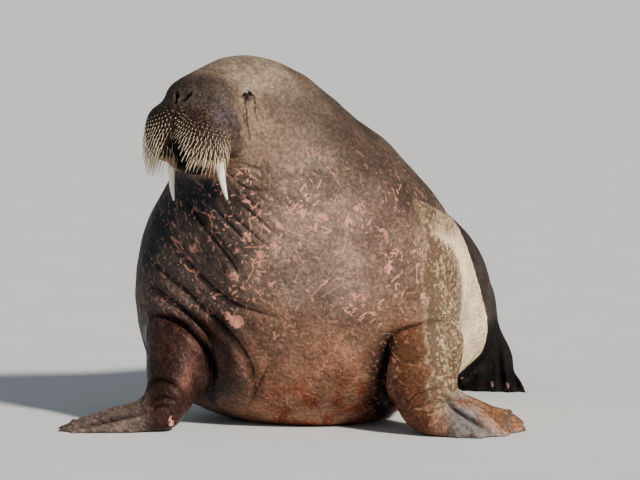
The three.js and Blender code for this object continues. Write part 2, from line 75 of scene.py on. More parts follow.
# The camera stands to the animal's front left, a little above it.
VIEW_AZIMUTH = math.radians(20)
ACROSS = Vector((math.cos(VIEW_AZIMUTH), math.sin(VIEW_AZIMUTH), 0))
AWAY = Vector((-math.sin(VIEW_AZIMUTH), math.cos(VIEW_AZIMUTH), 0))
CAMERA_DISTANCE = 13.15
CAMERA_HEIGHT = 1.866
CAMERA_SHIFT = -0.0185
PICTURE_WIDTH, PICTURE_HEIGHT = 640, 480
LENS, SENSOR = 200.0, 36.0
FOCAL = PICTURE_WIDTH * LENS / SENSOR
HORIZON_ROW = -80
EYE_POINT = ORIGIN + ACROSS * CAMERA_SHIFT - AWAY * CAMERA_DISTANCE + Vector((0, 0, CAMERA_HEIGHT))
PITCH = math.atan((PICTURE_HEIGHT / 2 - HORIZON_ROW) / FOCAL)
LOOK = AWAY * math.cos(PITCH) - Vector((0, 0, math.sin(PITCH)))
LOOK_UP = ACROSS.cross(LOOK)

SIDES = {"left": 1, "right": -1}
FLESH = [
    "rump", "belly", "chest", "neck", "head", "chin", "tail",
    "arm_left", "arm_right", "foreflipper_left", "foreflipper_right",
    "hind_leg_left", "hind_leg_right", "hind_flipper_left", "hind_flipper_right",
]
PADS = ["muzzle_pad_left", "muzzle_pad_right"]

# The hide's mesh, in metres, and how many triangles stay when it is thinned.
MERGE_DISTANCE = 0.00002
SKIN_THICKNESS = 0.0010
FLOOR_CLEARANCE = 0.0004
FLANK_ROLL_RISE, FLANK_DENT = 0.016, 0.020
STREAK_HALF_WIDTH = 0.0042
HIDE_TRIANGLES = 192000

# Muzzle and lips in the head's frame, in metres: middles with radii, and the lower lip's opening by side.
PAD_MIDDLE = Vector((0.087, -0.122, -0.126))
PAD_RADII = Vector((0.106, 0.106, 0.111))
PAD_SQUARENESS = 2.6
UPPER_LIP = (Vector((0, -0.122, -0.050)), Vector((0.128, 0.082, 0.062)))
UPPER_LIP_SQUARENESS = 2.4
LOWER_LIP = (Vector((0.014, -0.136, -0.200)), Vector((0.052, 0.050, 0.042)))
LOWER_LIP_OPENING = {1: 0.080, -1: 0.036}
LOWER_LIP_TOP = -0.142
LOWER_LIP_HEIGHT = 0.070
LOWER_LIP_CURVE = 0.32
LOWER_LIP_DEPTH = 0.024

# Eyes, nostrils and ear pits, in metres.
SOCKET_RADIUS, SOCKET_INSET = 0.018, 0.006
BROW_RISE, BROW_REACH = 0.0090, 0.026
UPPER_LID_RISE, LOWER_LID_RISE = 0.0075, 0.0035
EYE_SLIT_HALF_LENGTH, EYE_SLIT_HALF_HEIGHT, EYE_SLIT_DEPTH = 0.0195, 0.0046, 0.0170
LID_WRINKLE_DEPTH, BROW_CREASE_DEPTH = 0.0028, 0.0030
NOSTRIL_MIDDLE, NOSTRIL_LOW, NOSTRIL_HEIGHT = 0.008, -0.014, 0.030
NOSTRIL_GAP, NOSTRIL_FLARE = 0.013, 0.024
NOSTRIL_HALF_WIDTH = {1: 0.0082, -1: 0.0076}
NOSTRIL_RIM_RISE, NOSTRIL_DEPTH = 0.0045, 0.0160
EAR_BEHIND, EAR_ABOVE, EAR_RIM_RISE, EAR_DEPTH = 0.150, 0.040, 0.003, 0.006

# Tusks in the head's frame, in metres.
TUSK_ROOT = Vector((0.128, -0.106, -0.190))
TUSK_LENGTHS = {"left": 0.174, "right": 0.194}
TUSK_SPLAY, TUSK_FORWARD, TUSK_CURVE = 0.1045, 0.010, 0.034

# Whiskers: sides and steps of each, how many a row, and the sweep round the pad in degrees.
WHISKER_SIDES, WHISKER_STEPS, WHISKER_SHORTEST = 4, 6, 0.004
WHISKER_MOST, WHISKER_FEWER = 20, 5
WHISKER_SWEEP, WHISKER_SPAN = -58, 158
WHISKER_SEED = 11
BAKE_PATCH = 0.003

# Nails: half length and half width in metres, and the digits of a hind flipper with large ones.
LARGE_NAIL, SMALL_NAIL = (0.017, 0.0075), (0.012, 0.006)
LARGE_NAIL_DIGITS = (1, 2, 3)

# Flippers: wrist in the body's frame, heading of the middle digit, half spread and digit lengths.
FLIPPERS = {
    "foreflipper_right": ((-0.468, -0.388), 196, 18, (0.370, 0.405, 0.422, 0.422, 0.390)),
    "foreflipper_left": ((0.440, -0.155), 28, 42, (0.250, 0.320, 0.385, 0.440, 0.445)),
    "hind_flipper_right": ((-0.335, 1.215), 240, 30, (0.230, 0.215, 0.210, 0.225, 0.255)),
    "hind_flipper_left": ((0.285, 1.215), 284, 34, (0.230, 0.215, 0.210, 0.225, 0.255)),
}
ROOT_HALF_WIDTH = 0.08

# Folds that the picture shows: places in it, then groove width, depth and roll, in metres.
SEEN_FOLDS = [
    ([(190, 204), (202, 223), (213, 238), (230, 260), (240, 276)], 0.005, 0.010, 0.022),
    ([(168, 238), (180, 252), (197, 272), (213, 288), (233, 303), (257, 312), (277, 318)], 0.005, 0.010, 0.024),
    ([(148, 258), (166, 274), (185, 290), (203, 308), (220, 323), (237, 342), (247, 357), (253, 373),
      (255, 388), (248, 404)], 0.006, 0.017, 0.030),
    ([(150, 284), (168, 297), (185, 311), (200, 324), (210, 338), (213, 353)], 0.006, 0.015, 0.024),
    ([(152, 314), (163, 316), (178, 322), (193, 334), (204, 348), (211, 363), (212, 380), (207, 400)],
     0.007, 0.024, 0.022),
    ([(388, 338), (386, 352), (384, 370), (385, 388), (391, 404)], 0.010, 0.030, 0.026),
    ([(268, 366), (262, 378), (255, 393), (250, 404)], 0.005, 0.008, 0.020),
    ([(389, 344), (391, 336), (400, 330), (413, 325), (427, 321), (440, 319), (452, 320)], 0.006, 0.010, 0.020),
    ([(404, 401), (420, 393), (440, 389), (462, 386)], 0.005, 0.007, 0.012),
    ([(412, 409), (430, 404), (450, 400), (466, 399)], 0.005, 0.006, 0.012),
    ([(147, 390), (155, 380), (170, 383), (184, 394)], 0.005, 0.009, 0.014),
    ([(147, 401), (163, 397), (176, 401)], 0.005, 0.007, 0.012),
    ([(150, 410), (160, 406), (170, 408)], 0.005, 0.005, 0.010),
    ([(221, 206), (236, 220), (257, 238), (270, 249)], 0.004, 0.005, 0.014),
    ([(237, 202), (257, 218), (277, 236)], 0.004, 0.005, 0.014),
    ([(207, 200), (222, 216), (236, 231), (250, 246)], 0.004, 0.006, 0.014),
    ([(232, 190), (248, 200), (262, 212)], 0.004, 0.004, 0.012),
    ([(200, 212), (214, 230), (226, 246), (236, 258)], 0.004, 0.005, 0.012),
    ([(176, 238), (192, 256), (206, 270)], 0.004, 0.005, 0.012),
    ([(232, 176), (250, 180), (268, 178)], 0.004, 0.004, 0.012),
    ([(226, 170), (244, 187), (264, 190), (280, 186)], 0.004, 0.005, 0.012),
    ([(240, 163), (256, 168), (272, 164)], 0.004, 0.004, 0.012),
    ([(216, 60), (230, 63), (244, 62), (256, 66)], 0.004, 0.004, 0.012),
    ([(200, 70), (213, 68), (228, 70), (240, 69)], 0.004, 0.003, 0.012),
]
# Finer folds of the face, in the same way.
FACE_FOLDS = [
    ([(236, 112), (239, 124), (239, 138), (235, 152)], 0.005, 0.005, 0.014),
    ([(258, 84), (263, 94), (264, 106)], 0.004, 0.003, 0.010),
    ([(229, 86), (234, 89), (240, 92)], 0.003, 0.004, 0.008),
    ([(181, 101), (178, 108), (175, 116), (174, 128)], 0.004, 0.006, 0.010),
    ([(190, 101), (186, 107), (180, 112), (177, 119)], 0.003, 0.004, 0.008),
    ([(176, 100), (178, 104), (175, 109)], 0.003, 0.004, 0.008),
]
# Dark streaks that run down from the eye.
TEAR_STREAKS = [
    [(246, 97), (245, 104), (247, 112), (247, 121), (249, 130), (250, 140)],
    [(247, 112), (244, 117), (245, 123)],
    [(253, 96), (255, 103), (255, 111), (257, 119)],
]
# Painted shade in hollows, between parts and under the head, and a painted highlight along the right arm:
# places in the picture, reach in metres, and darkness, below 0 for lighter.
PAINTED_SHADE_AND_HIGHLIGHT_LINES = [
    ([(386, 348), (381, 366), (379, 384), (380, 404), (384, 416)], 0.050, 0.93),
    ([(208, 352), (214, 366), (216, 382), (212, 400)], 0.028, 0.75),
    ([(178, 186), (190, 200), (196, 216)], 0.060, 0.80),
    ([(205, 186), (222, 196), (232, 200)], 0.025, 0.40),
    ([(330, 404), (350, 402), (372, 404)], 0.040, 0.40),
    ([(196, 334), (193, 350), (190, 366), (184, 384)], 0.026, -3.4),
    ([(158, 214), (166, 232), (176, 250)], 0.030, 0.40),
]
# Larger sores: place in the picture and radius in metres.
SORES = [
    ((237, 321), 0.030), ((229, 317), 0.018), ((246, 237), 0.020), ((274, 245), 0.015), ((261, 255), 0.017),
    ((258, 278), 0.014), ((235, 277), 0.020), ((302, 213), 0.018), ((315, 226), 0.015), ((325, 217), 0.012),
    ((355, 296), 0.015), ((352, 306), 0.014), ((392, 257), 0.020), ((388, 269), 0.016), ((171, 423), 0.016),
    ((288, 262), 0.012), ((290, 208), 0.014), ((348, 222), 0.012), ((420, 252), 0.011), ((214, 297), 0.010),
]

# Soft swellings of the hide: place in the body's frame, reach and shift along the picture's width.
SWELLINGS = [((0.42, 1.08, 0.12), 0.075, 0.034), ((0.40, 1.02, 0.07), 0.060, 0.018)]

# Both flanks' rolls end along this line: height and place along the body, in metres.
FLANK_HEIGHTS = (0.05, 0.10, 0.26, 0.42, 0.58, 0.66, 0.80, 0.90)
FLANK_PLACES = (1.00, 0.90, 0.66, 0.52, 0.43, 0.36, 0.05, -0.20)

# Folds on the sides that the picture doesn't show: points (x, y, z) in the body's frame, cast from outside.
FAR_FOLDS = [
    ([(-0.7, 0.02, 0.55), (-0.7, 0.10, 0.38), (-0.7, 0.14, 0.20)], 0.007, 0.012, 0.035),
    ([(-0.7, -0.12, 0.78), (-0.7, -0.02, 0.60), (-0.7, 0.04, 0.40)], 0.007, 0.010, 0.035),
    ([(0.7, 0.98, 0.60), (0.7, 0.92, 0.40), (0.7, 0.90, 0.20)], 0.008, 0.010, 0.035),
    ([(-0.7, 0.98, 0.60), (-0.7, 0.92, 0.40), (-0.7, 0.90, 0.20)], 0.008, 0.010, 0.035),
    ([(-0.7, 1.10, 0.48), (-0.7, 1.04, 0.32), (-0.7, 1.02, 0.16)], 0.007, 0.009, 0.030),
]

# Colours of the hide, linear.
HIDE_BROWN = (0.140, 0.086, 0.062)
BACK_BEIGE = (0.125, 0.090, 0.064)
CROWN_GREY = (0.235, 0.180, 0.130)
FACE_OLIVE = (0.056, 0.041, 0.033)
CHEEK_BROWN = (0.180, 0.118, 0.078)
# Purplish tone with a painted sheen along the pads' outer edges.
CHEEK_EDGE_AND_SHEEN = (0.082, 0.064, 0.076)
SEPTUM = (0.095, 0.045, 0.036)
PAD_BROWN = (0.075, 0.042, 0.030)
FAR_PAD = (0.020, 0.011, 0.009)
# Black of the lower lip, also used as painted shadow under the pads.
LIP_AND_SHADOW_BLACK = (0.005, 0.004, 0.004)
# Chin brown, lightened with painted light from below.
CHIN_BROWN_LIT_BELOW = (0.230, 0.130, 0.075)
EYE_PURPLE = (0.022, 0.012, 0.014)
LID_PALE = (0.260, 0.205, 0.165)
# Wet hide darkened with bluish painted shade.
WET_HIDE_AND_SHADE = (0.005, 0.008, 0.014)
SHOULDER_DARK = (0.058, 0.042, 0.038)
ARM_DARK = (0.022, 0.007, 0.005)
# A painted sheen on the chest.
CHEST_PAINTED_SHEEN = (0.400, 0.270, 0.205)
CHEST_WARM = (0.220, 0.104, 0.060)
BELLY_RUST = (0.130, 0.022, 0.004)
FLANK_CREAM = (0.860, 0.660, 0.410)
FLANK_BEIGE = (0.430, 0.310, 0.185)
RUMP_BROWN = (0.026, 0.018, 0.016)
LEFT_ARM_TAN = (0.078, 0.028, 0.011)
FORE_DARK = (0.105, 0.074, 0.060)
FORE_GREY = (0.190, 0.172, 0.162)
FORE_TAN = (0.270, 0.105, 0.036)
HIND_BLACK = (0.006, 0.004, 0.004)
CURL_BROWN = (0.082, 0.046, 0.029)
OLD_SCAR = (0.60, 0.32, 0.24)
PALE_HAIR_LIFT = (2.0, 1.9, 1.7)

# Colours of the smaller pieces and the light, linear.
IVORY_STREAK, IVORY_STAIN = (0.66, 0.56, 0.38), (0.38, 0.28, 0.16)
WHISKER_HORN = (0.44, 0.31, 0.18)
EYE_DARK, EYE_RING = (0.010, 0.007, 0.006), (0.035, 0.018, 0.010)
NAIL_DARK, NAIL_PALE = (0.085, 0.040, 0.026), (0.19, 0.10, 0.07)
FLOOR_GRAIN = 1.03
WORLD_COLOUR, WORLD_STRENGTH = (0.80, 0.87, 0.95), 0.26

# Suns: the way towards each, its strength, its softness in degrees and its colour.
SUNS = {
    "key_sun": (ACROSS * 0.80 - AWAY * 0.85 + Vector((0, 0, 0.78)), 5.6, 6, (1.0, 0.94, 0.86)),
    "fill_sun": (-ACROSS * 0.9 - AWAY * 0.5 + Vector((0, 0, 0.7)), 0.16, 60, (0.80, 0.90, 1.0)),
}

# Rounds of rounding that take the facets away: all over, at the soft joints, on the snout and at the wrists.
GENERAL_ROUNDS = 22
SNOUT_TOP, SNOUT_ROUNDS = (0, -0.15, -0.035), 14
WRIST_HEIGHT, WRIST_ROUNDS = 0.10, 16
# Soft joints: middle in the body's frame, reach and rounds.
SOFT_JOINTS = [
    ((0.40, -0.06, 0.42), 0.20, 60), ((-0.47, -0.24, 0.42), 0.15, 24), ((0.24, 1.15, 0.26), 0.16, 60),
    ((-0.28, 1.17, 0.26), 0.16, 60), ((0.01, 1.44, 0.17), 0.12, 60),
]


class WalrusSizes(bpy.types.PropertyGroup):
    """Sizes that shape the pieces over the frame."""
    hide_mesh: FloatProperty(name="Hide mesh", description="Cell size of the hide's mesh",
                             default=0.0135, min=0.008, max=0.03, unit="LENGTH")
    fold_depth: FloatProperty(name="Fold depth", description="Depth of the hide's folds, 1 for the full depth",
                              default=1.0, min=0.0, max=2.0, subtype="FACTOR")
    whisker_rows: IntProperty(name="Whisker rows", description="Rows of whiskers on each muzzle pad",
                              default=12, min=4, max=18)
    whisker_longest: FloatProperty(name="Longest whisker", description="Length of the longest whiskers",
                                   default=0.080, min=0.03, max=0.15, unit="LENGTH")
    tusk_radius: FloatProperty(name="Tusk radius", description="Half thickness of a tusk at its root",
                               default=0.0165, min=0.008, max=0.03, unit="LENGTH")


class WalrusColours(bpy.types.PropertyGroup):
    """Colours of the finishes."""
    ivory: FloatVectorProperty(name="Ivory", description="Colour of the tusks", size=3, min=0, max=1,
                               default=(0.96, 0.93, 0.82), subtype="COLOR")
    whisker: FloatVectorProperty(name="Whisker", description="Colour of the whiskers", size=3, min=0, max=1,
                                 default=(0.80, 0.69, 0.48), subtype="COLOR")
    scar: FloatVectorProperty(name="Scar", description="Colour of the scars", size=3, min=0, max=1,
                              default=(0.76, 0.29, 0.205), subtype="COLOR")
    floor: FloatVectorProperty(name="Floor", description="Colour of the floor", size=3, min=0, max=1,
                               default=(0.70, 0.71, 0.72), subtype="COLOR")


def sizes():
    return bpy.context.scene.walrus_sizes


def colours():
    return bpy.context.scene.walrus_colours


# Arrays of points and the body's and the head's frames.
def ease(value, start, end):
    """Rises smoothly from 0 at the start to 1 at the end, whichever is larger."""
    t = np.clip((value - start) / (end - start), 0, 1)
    return t * t * (3 - 2 * t)


def bell(*terms):
    """1 where every value is 0, and near 0 past a width. Each term is a value with its width."""
    return np.exp(-sum((value / width) ** 2 for value, width in terms))


def in_body(points):
    return points - np.array(ORIGIN)


def in_head(points):
    return (points - np.array(HEAD_ROW)) @ np.array(HEAD_ROTATION)


def from_head(point):
    return HEAD_ROW + HEAD_ROTATION @ Vector(point)


def eye_in_head(side):
    return in_head(np.array([eye_middle(side)]))[0]


def pad_middle(sign):
    return Vector((PAD_MIDDLE.x * sign, PAD_MIDDLE.y, PAD_MIDDLE.z))


def points_of(mesh):
    flat = np.empty(len(mesh.vertices) * 3)
    mesh.vertices.foreach_get("co", flat)
    return flat.reshape(-1, 3)


def set_points(mesh, points):
    mesh.vertices.foreach_set("co", points.ravel())
    mesh.update()


def normals_of(mesh):
    flat = np.empty(len(mesh.vertices) * 3, np.float32)
    mesh.vertex_normals.foreach_get("vector", flat)
    return flat.reshape(-1, 3).astype(float)


def centres_of(mesh):
    flat = np.empty(len(mesh.polygons) * 3, np.float32)
    mesh.polygons.foreach_get("center", flat)
    return flat.reshape(-1, 3)


def edges_of(mesh):
    flat = np.empty(len(mesh.edges) * 2, np.int32)
    mesh.edges.foreach_get("vertices", flat)
    return flat.reshape(-1, 2)


def relax(points, edges, weight, rounds):
    """Moves each point towards the middle of its neighbours, by its weight, for some rounds."""
    count = len(points)
    a, b = edges.T
    neighbours = np.maximum(np.bincount(edges.ravel(), minlength=count), 1)[:, None]
    moved = points.copy()
    for _ in range(rounds):
        total = np.stack([np.bincount(a, moved[b, i], count) + np.bincount(b, moved[a, i], count)
                          for i in range(3)], 1)
        moved += 0.5 * weight[:, None] * (total / neighbours - moved)
    return moved


def only(obj):
    bpy.ops.object.select_all(action="DESELECT")
    obj.select_set(True)
    bpy.context.view_layer.objects.active = obj


def apply_modifier(obj, kind, **values):
    only(obj)
    modifier = obj.modifiers.new(kind.title(), kind)
    for key, value in values.items():
        setattr(modifier, key, value)
    bpy.ops.object.modifier_apply(modifier=modifier.name)


def edit_all(obj, operator, **values):
    """Runs one mesh operator on the whole of a piece in edit mode."""
    only(obj)
    bpy.ops.object.mode_set(mode="EDIT")
    bpy.ops.mesh.select_all(action="SELECT")
    operator(**values)
    bpy.ops.object.mode_set(mode="OBJECT")


def joined(parts, name):
    only(parts[0])
    for part in parts:
        part.select_set(True)
    bpy.ops.object.join()
    whole = bpy.context.object
    whole.name = name
    return whole


def ball(name, segments, rings, radius=1.0):
    """A round form that a piece starts from, added with nothing else selected."""
    bpy.ops.object.select_all(action="DESELECT")
    bpy.ops.mesh.primitive_uv_sphere_add(segments=segments, ring_count=rings, radius=radius)
    made = bpy.context.object
    made.name = name
    return made


def rounded_solid(name, middle, radii, squareness=2.0):
    """A closed rounded form, squared off where squareness is over 2, in the head's frame."""
    solid = ball(name, 48, 32)
    for vertex in solid.data.vertices:
        way = vertex.co.normalized()
        reach = sum(abs(c) ** squareness for c in way) ** (-1 / squareness)
        local = Vector((way[i] * reach * radii[i] for i in range(3)))
        vertex.co = from_head(Vector(middle) + local)
    return solid


def refine(obj, inside, rounds=3):
    """Splits the faces inside a region once and rounds the new points."""
    mesh = obj.data
    chosen = inside(centres_of(mesh))
    mesh.vertices.foreach_set("select", np.zeros(len(mesh.vertices), bool))
    mesh.edges.foreach_set("select", np.zeros(len(mesh.edges), bool))
    mesh.polygons.foreach_set("select", chosen)
    only(obj)
    bpy.ops.object.mode_set(mode="EDIT")
    bpy.ops.mesh.select_mode(type="FACE")
    bpy.ops.mesh.subdivide(number_cuts=1)
    bpy.ops.object.mode_set(mode="OBJECT")
    points = points_of(mesh)
    weight = inside(points).astype(float)
    set_points(mesh, relax(points, edges_of(mesh), weight, rounds))


def tree_of(obj):
    mesh = obj.data
    mesh.calc_loop_triangles()
    corners = [tuple(t.vertices) for t in mesh.loop_triangles]
    return BVHTree.FromPolygons([v.co for v in mesh.vertices], corners)


def picture_ray(column, row):
    """Direction from the camera through a place in the picture."""
    aside, down = column - PICTURE_WIDTH / 2, PICTURE_HEIGHT / 2 - row
    return (LOOK * FOCAL + ACROSS * aside + LOOK_UP * down).normalized()


def smooth_line(places, per_step=8):
    """Points along a smooth curve through the places."""
    places = [Vector(p) for p in places]
    ends = [2 * places[0] - places[1], *places, 2 * places[-1] - places[-2]]
    line = []
    for n in range(1, len(ends) - 2):
        p, q, r, s = ends[n - 1:n + 3]
        for k in range(per_step):
            t = k / per_step
            line.append(0.5 * (2 * q + (r - p) * t + (2 * p - 5 * q + 4 * r - s) * t ** 2
                               + (3 * q - p - 3 * r + s) * t ** 3))
    return line + [ends[-2]]


def hits_of(casts):
    return np.array([hit for hit, *_ in casts if hit is not None])


def cast_seen(tree, places):
    """Points on the hide behind a line of places in the picture."""
    return hits_of(tree.ray_cast(EYE_POINT, picture_ray(*p)) for p in smooth_line(places))


def cast_far(tree, places):
    """Points cast towards the body's middle line, from the place's own side."""
    return hits_of(tree.ray_cast(ORIGIN + Vector(p), Vector((-math.copysign(1, p[0]), 0, 0)))
                   for p in smooth_line(places))


def nearest_on(points, line, reach):
    """Distance from each point to a line of points and the share along it. Far points get a large distance."""
    distance = np.full(len(points), 9.0)
    share = np.zeros(len(points))
    near = np.all((points > line.min(0) - reach) & (points < line.max(0) + reach), axis=1)
    chosen = np.flatnonzero(near)
    start, step = line[:-1], np.diff(line, axis=0)
    length2 = np.maximum((step ** 2).sum(1), 1e-12)
    for part in np.array_split(chosen, max(1, len(chosen) // 4000)):
        offset = points[part][:, None, :] - start[None]
        t = np.clip((offset * step[None]).sum(2) / length2, 0, 1)
        gap = np.linalg.norm(offset - t[..., None] * step[None], axis=2)
        best = gap.argmin(1)
        distance[part] = gap[np.arange(len(part)), best]
        share[part] = (best + t[np.arange(len(part)), best]) / len(step)
    return distance, share


def fold_shape(distance, share, width, depth, roll):
    """A groove in a shallow hollow with a roll on both sides, fading at its ends. Returns rise and groove."""
    fade = np.sqrt(np.clip(np.sin(np.pi * np.clip(share, 0.02, 0.98)), 0, 1))
    groove = bell((distance, width)) * fade
    hollow = bell((distance, 0.8 * roll)) * fade
    swell = bell((distance - 1.25 * roll, 0.6 * roll)) * fade
    return depth * (0.40 * swell - 0.35 * hollow - 0.75 * groove), groove


def digit_lines(name):
    """Ground lines along a flipper's digits and along the grooves between them, in the row frame."""
    (x, y), heading, spread, lengths = FLIPPERS[name]
    turn = math.radians(heading)
    lines = {"digit": [], "groove": []}
    for n in range(9):
        v = n / 4 - 1
        angle = turn + v * math.radians(spread)
        low, high = lengths[n // 2], lengths[min(4, (n + 1) // 2)]
        reach = (low + high) / 2
        root = Vector((x, y, 0)) + Vector((-math.sin(turn), math.cos(turn), 0)) * v * ROOT_HALF_WIDTH
        tip = Vector((x, y, 0)) + Vector((math.cos(angle), math.sin(angle), 0)) * reach
        lines["groove" if n % 2 else "digit"].append((ORIGIN + root, ORIGIN + tip))
    return lines


def drop_onto(tree, point):
    hit, normal, *_ = tree.ray_cast(Vector((point.x, point.y, 0.6)), Vector((0, 0, -1)))
    return hit, normal


def on_flippers(points):
    """How much a point belongs to a flipper's paddle, from 0 to 1."""
    body = in_body(points)
    share = np.zeros(len(points))
    for name, ((x, y), heading, spread, lengths) in FLIPPERS.items():
        turn = math.radians(heading)
        ahead = (body[:, 0] - x) * math.cos(turn) + (body[:, 1] - y) * math.sin(turn)
        aside = np.abs(-(body[:, 0] - x) * math.sin(turn) + (body[:, 1] - y) * math.cos(turn))
        reach = max(lengths)
        inside = ease(ahead, 0.04, 0.12) * ease(ahead, reach + 0.08, reach + 0.04)
        inside = inside * ease(aside, reach * 0.9, reach * 0.8) * ease(body[:, 2], 0.17, 0.13)
        share = np.maximum(share, inside)
    return share


def lumps(points, cell, seed):
    """Soft random rise and fall over the points, about -1 to 1."""
    shift = Vector((seed * 3.7, seed * 1.3, seed * 2.9))
    return np.array([noise.noise(Vector(p) / cell + shift) for p in points])


def eye_shape(head, rise):
    """The brow, lids and slit of both eyes, added to the rise of each point. Returns slit and lids."""
    slits, lids = np.zeros(len(head)), np.zeros(len(head))
    for side, sign in SIDES.items():
        middle = eye_in_head(side)
        along = head[:, 1] - middle[1]
        up = head[:, 2] - middle[2]
        mine = ease(head[:, 0] * sign, 0.05, 0.07)
        rise += mine * BROW_RISE * bell((np.hypot(along, up * 1.05), BROW_REACH))
        lid = bell((along, 0.026), (up - 0.018, 0.011))
        rise += mine * (UPPER_LID_RISE * lid + LOWER_LID_RISE * bell((along, 0.024), (up + 0.012, 0.006)))
        bent = up + 0.001 + 14 * along ** 2
        slit = (along / EYE_SLIT_HALF_LENGTH) ** 4 + (bent / EYE_SLIT_HALF_HEIGHT) ** 2
        rise -= mine * EYE_SLIT_DEPTH * np.exp(-slit ** 1.5)
        flat_round = np.hypot(along * 0.85, up * 1.5)
        wrinkle = bell((flat_round - 0.021, 0.0028)) + 0.6 * bell((flat_round - 0.031, 0.003))
        wrinkle = wrinkle * ease(up, 0.000, -0.010) * (0.6 + 0.4 * np.sin(along * 420 + 1))
        crease = np.exp(-((up - 0.027 + 9 * along ** 2) / 0.003) ** 2 - (along / 0.026) ** 4)
        rise -= mine * (LID_WRINKLE_DEPTH * wrinkle + BROW_CREASE_DEPTH * crease)
        slits = np.maximum(slits, mine * np.maximum(bell((slit, 2.2)), 0.40 * wrinkle))
        lids = np.maximum(lids, mine * lid)
    return slits, lids


def nostril_shape(head, rise):
    """Two comma slits at the front of the snout."""
    hollow = np.zeros(len(head))
    front = ease(head[:, 1], -0.09, -0.11) * ease(head[:, 2], -0.055, -0.035)
    for sign in SIDES.values():
        t = np.linspace(0, 1, 14)
        line = np.stack([NOSTRIL_MIDDLE + sign * (NOSTRIL_GAP + NOSTRIL_FLARE * t ** 1.5), np.zeros(14),
                         NOSTRIL_LOW + NOSTRIL_HEIGHT * t], 1)
        flat = head * np.array([1, 0, 1])
        distance, share = nearest_on(flat, line, 0.05)
        fade = 0.55 + 0.60 * np.sin(np.pi * np.clip(share, 0, 1))
        slit = bell((distance, NOSTRIL_HALF_WIDTH[sign] * fade))
        rise += front * (NOSTRIL_RIM_RISE * bell((distance - 0.014, 0.007)) - NOSTRIL_DEPTH * slit)
        hollow = np.maximum(hollow, front * np.clip(1.7 * slit, 0, 1))
    return hollow


def lip_shape(head, rise):
    """The dark lower lip that shows between the two pads. Returns how much a point belongs to it."""
    wide = np.where(head[:, 0] > 0, LOWER_LIP_OPENING[1], LOWER_LIP_OPENING[-1])
    half_width = wide * np.clip((LOWER_LIP_TOP - head[:, 2]) / LOWER_LIP_HEIGHT, 0, 1.1) ** LOWER_LIP_CURVE
    gap = np.abs(head[:, 0]) - half_width
    front = ease(head[:, 1], -0.09, -0.12) * ease(head[:, 2], -0.128, -0.142)
    inside = ease(gap, 0.004, -0.004) * front
    rise += front * (0.006 * bell((gap - 0.016, 0.009)) - 0.012 * bell((gap, 0.005)))
    rise -= LOWER_LIP_DEPTH * inside * ease(head[:, 1], -0.17, -0.19)
    return inside


def ear_shape(head, rise):
    """A small pit with a low rim behind each eye."""
    for sign in SIDES.values():
        gap = np.hypot(head[:, 1] - EAR_BEHIND, head[:, 2] - EAR_ABOVE)
        mine = ease(head[:, 0] * sign, 0.06, 0.08)
        rise += mine * (EAR_RIM_RISE * bell((gap - 0.013, 0.006)) - EAR_DEPTH * bell((gap, 0.006)))


def muzzle_share(head):
    """How much a point belongs to the two whiskered pads, from 0 to 1."""
    share = np.zeros(len(head))
    for sign in SIDES.values():
        gap = np.abs((head - np.array(pad_middle(sign))) / (np.array(PAD_RADII) + 0.012))
        outer = (gap ** PAD_SQUARENESS).sum(1) ** (1 / PAD_SQUARENESS)
        share = np.maximum(share, ease(outer, 1.08, 0.98))
    return share * ease(head[:, 1], -0.035, -0.085) * ease(head[:, 2], -0.005, -0.050)


def flank_gap(body):
    """How far behind the line where the flank's rolls end a point lies, in metres."""
    return body[:, 1] - np.interp(body[:, 2], FLANK_HEIGHTS, FLANK_PLACES)


def toned(tint, colour, weight):
    return tint + (np.array(colour) - tint) * weight[:, None]


def put_attribute(mesh, name, values, kind="FLOAT", key="value"):
    attribute = mesh.attributes.new(name, kind, "POINT")
    attribute.data.foreach_set(key, np.ascontiguousarray(values, np.float32).ravel())


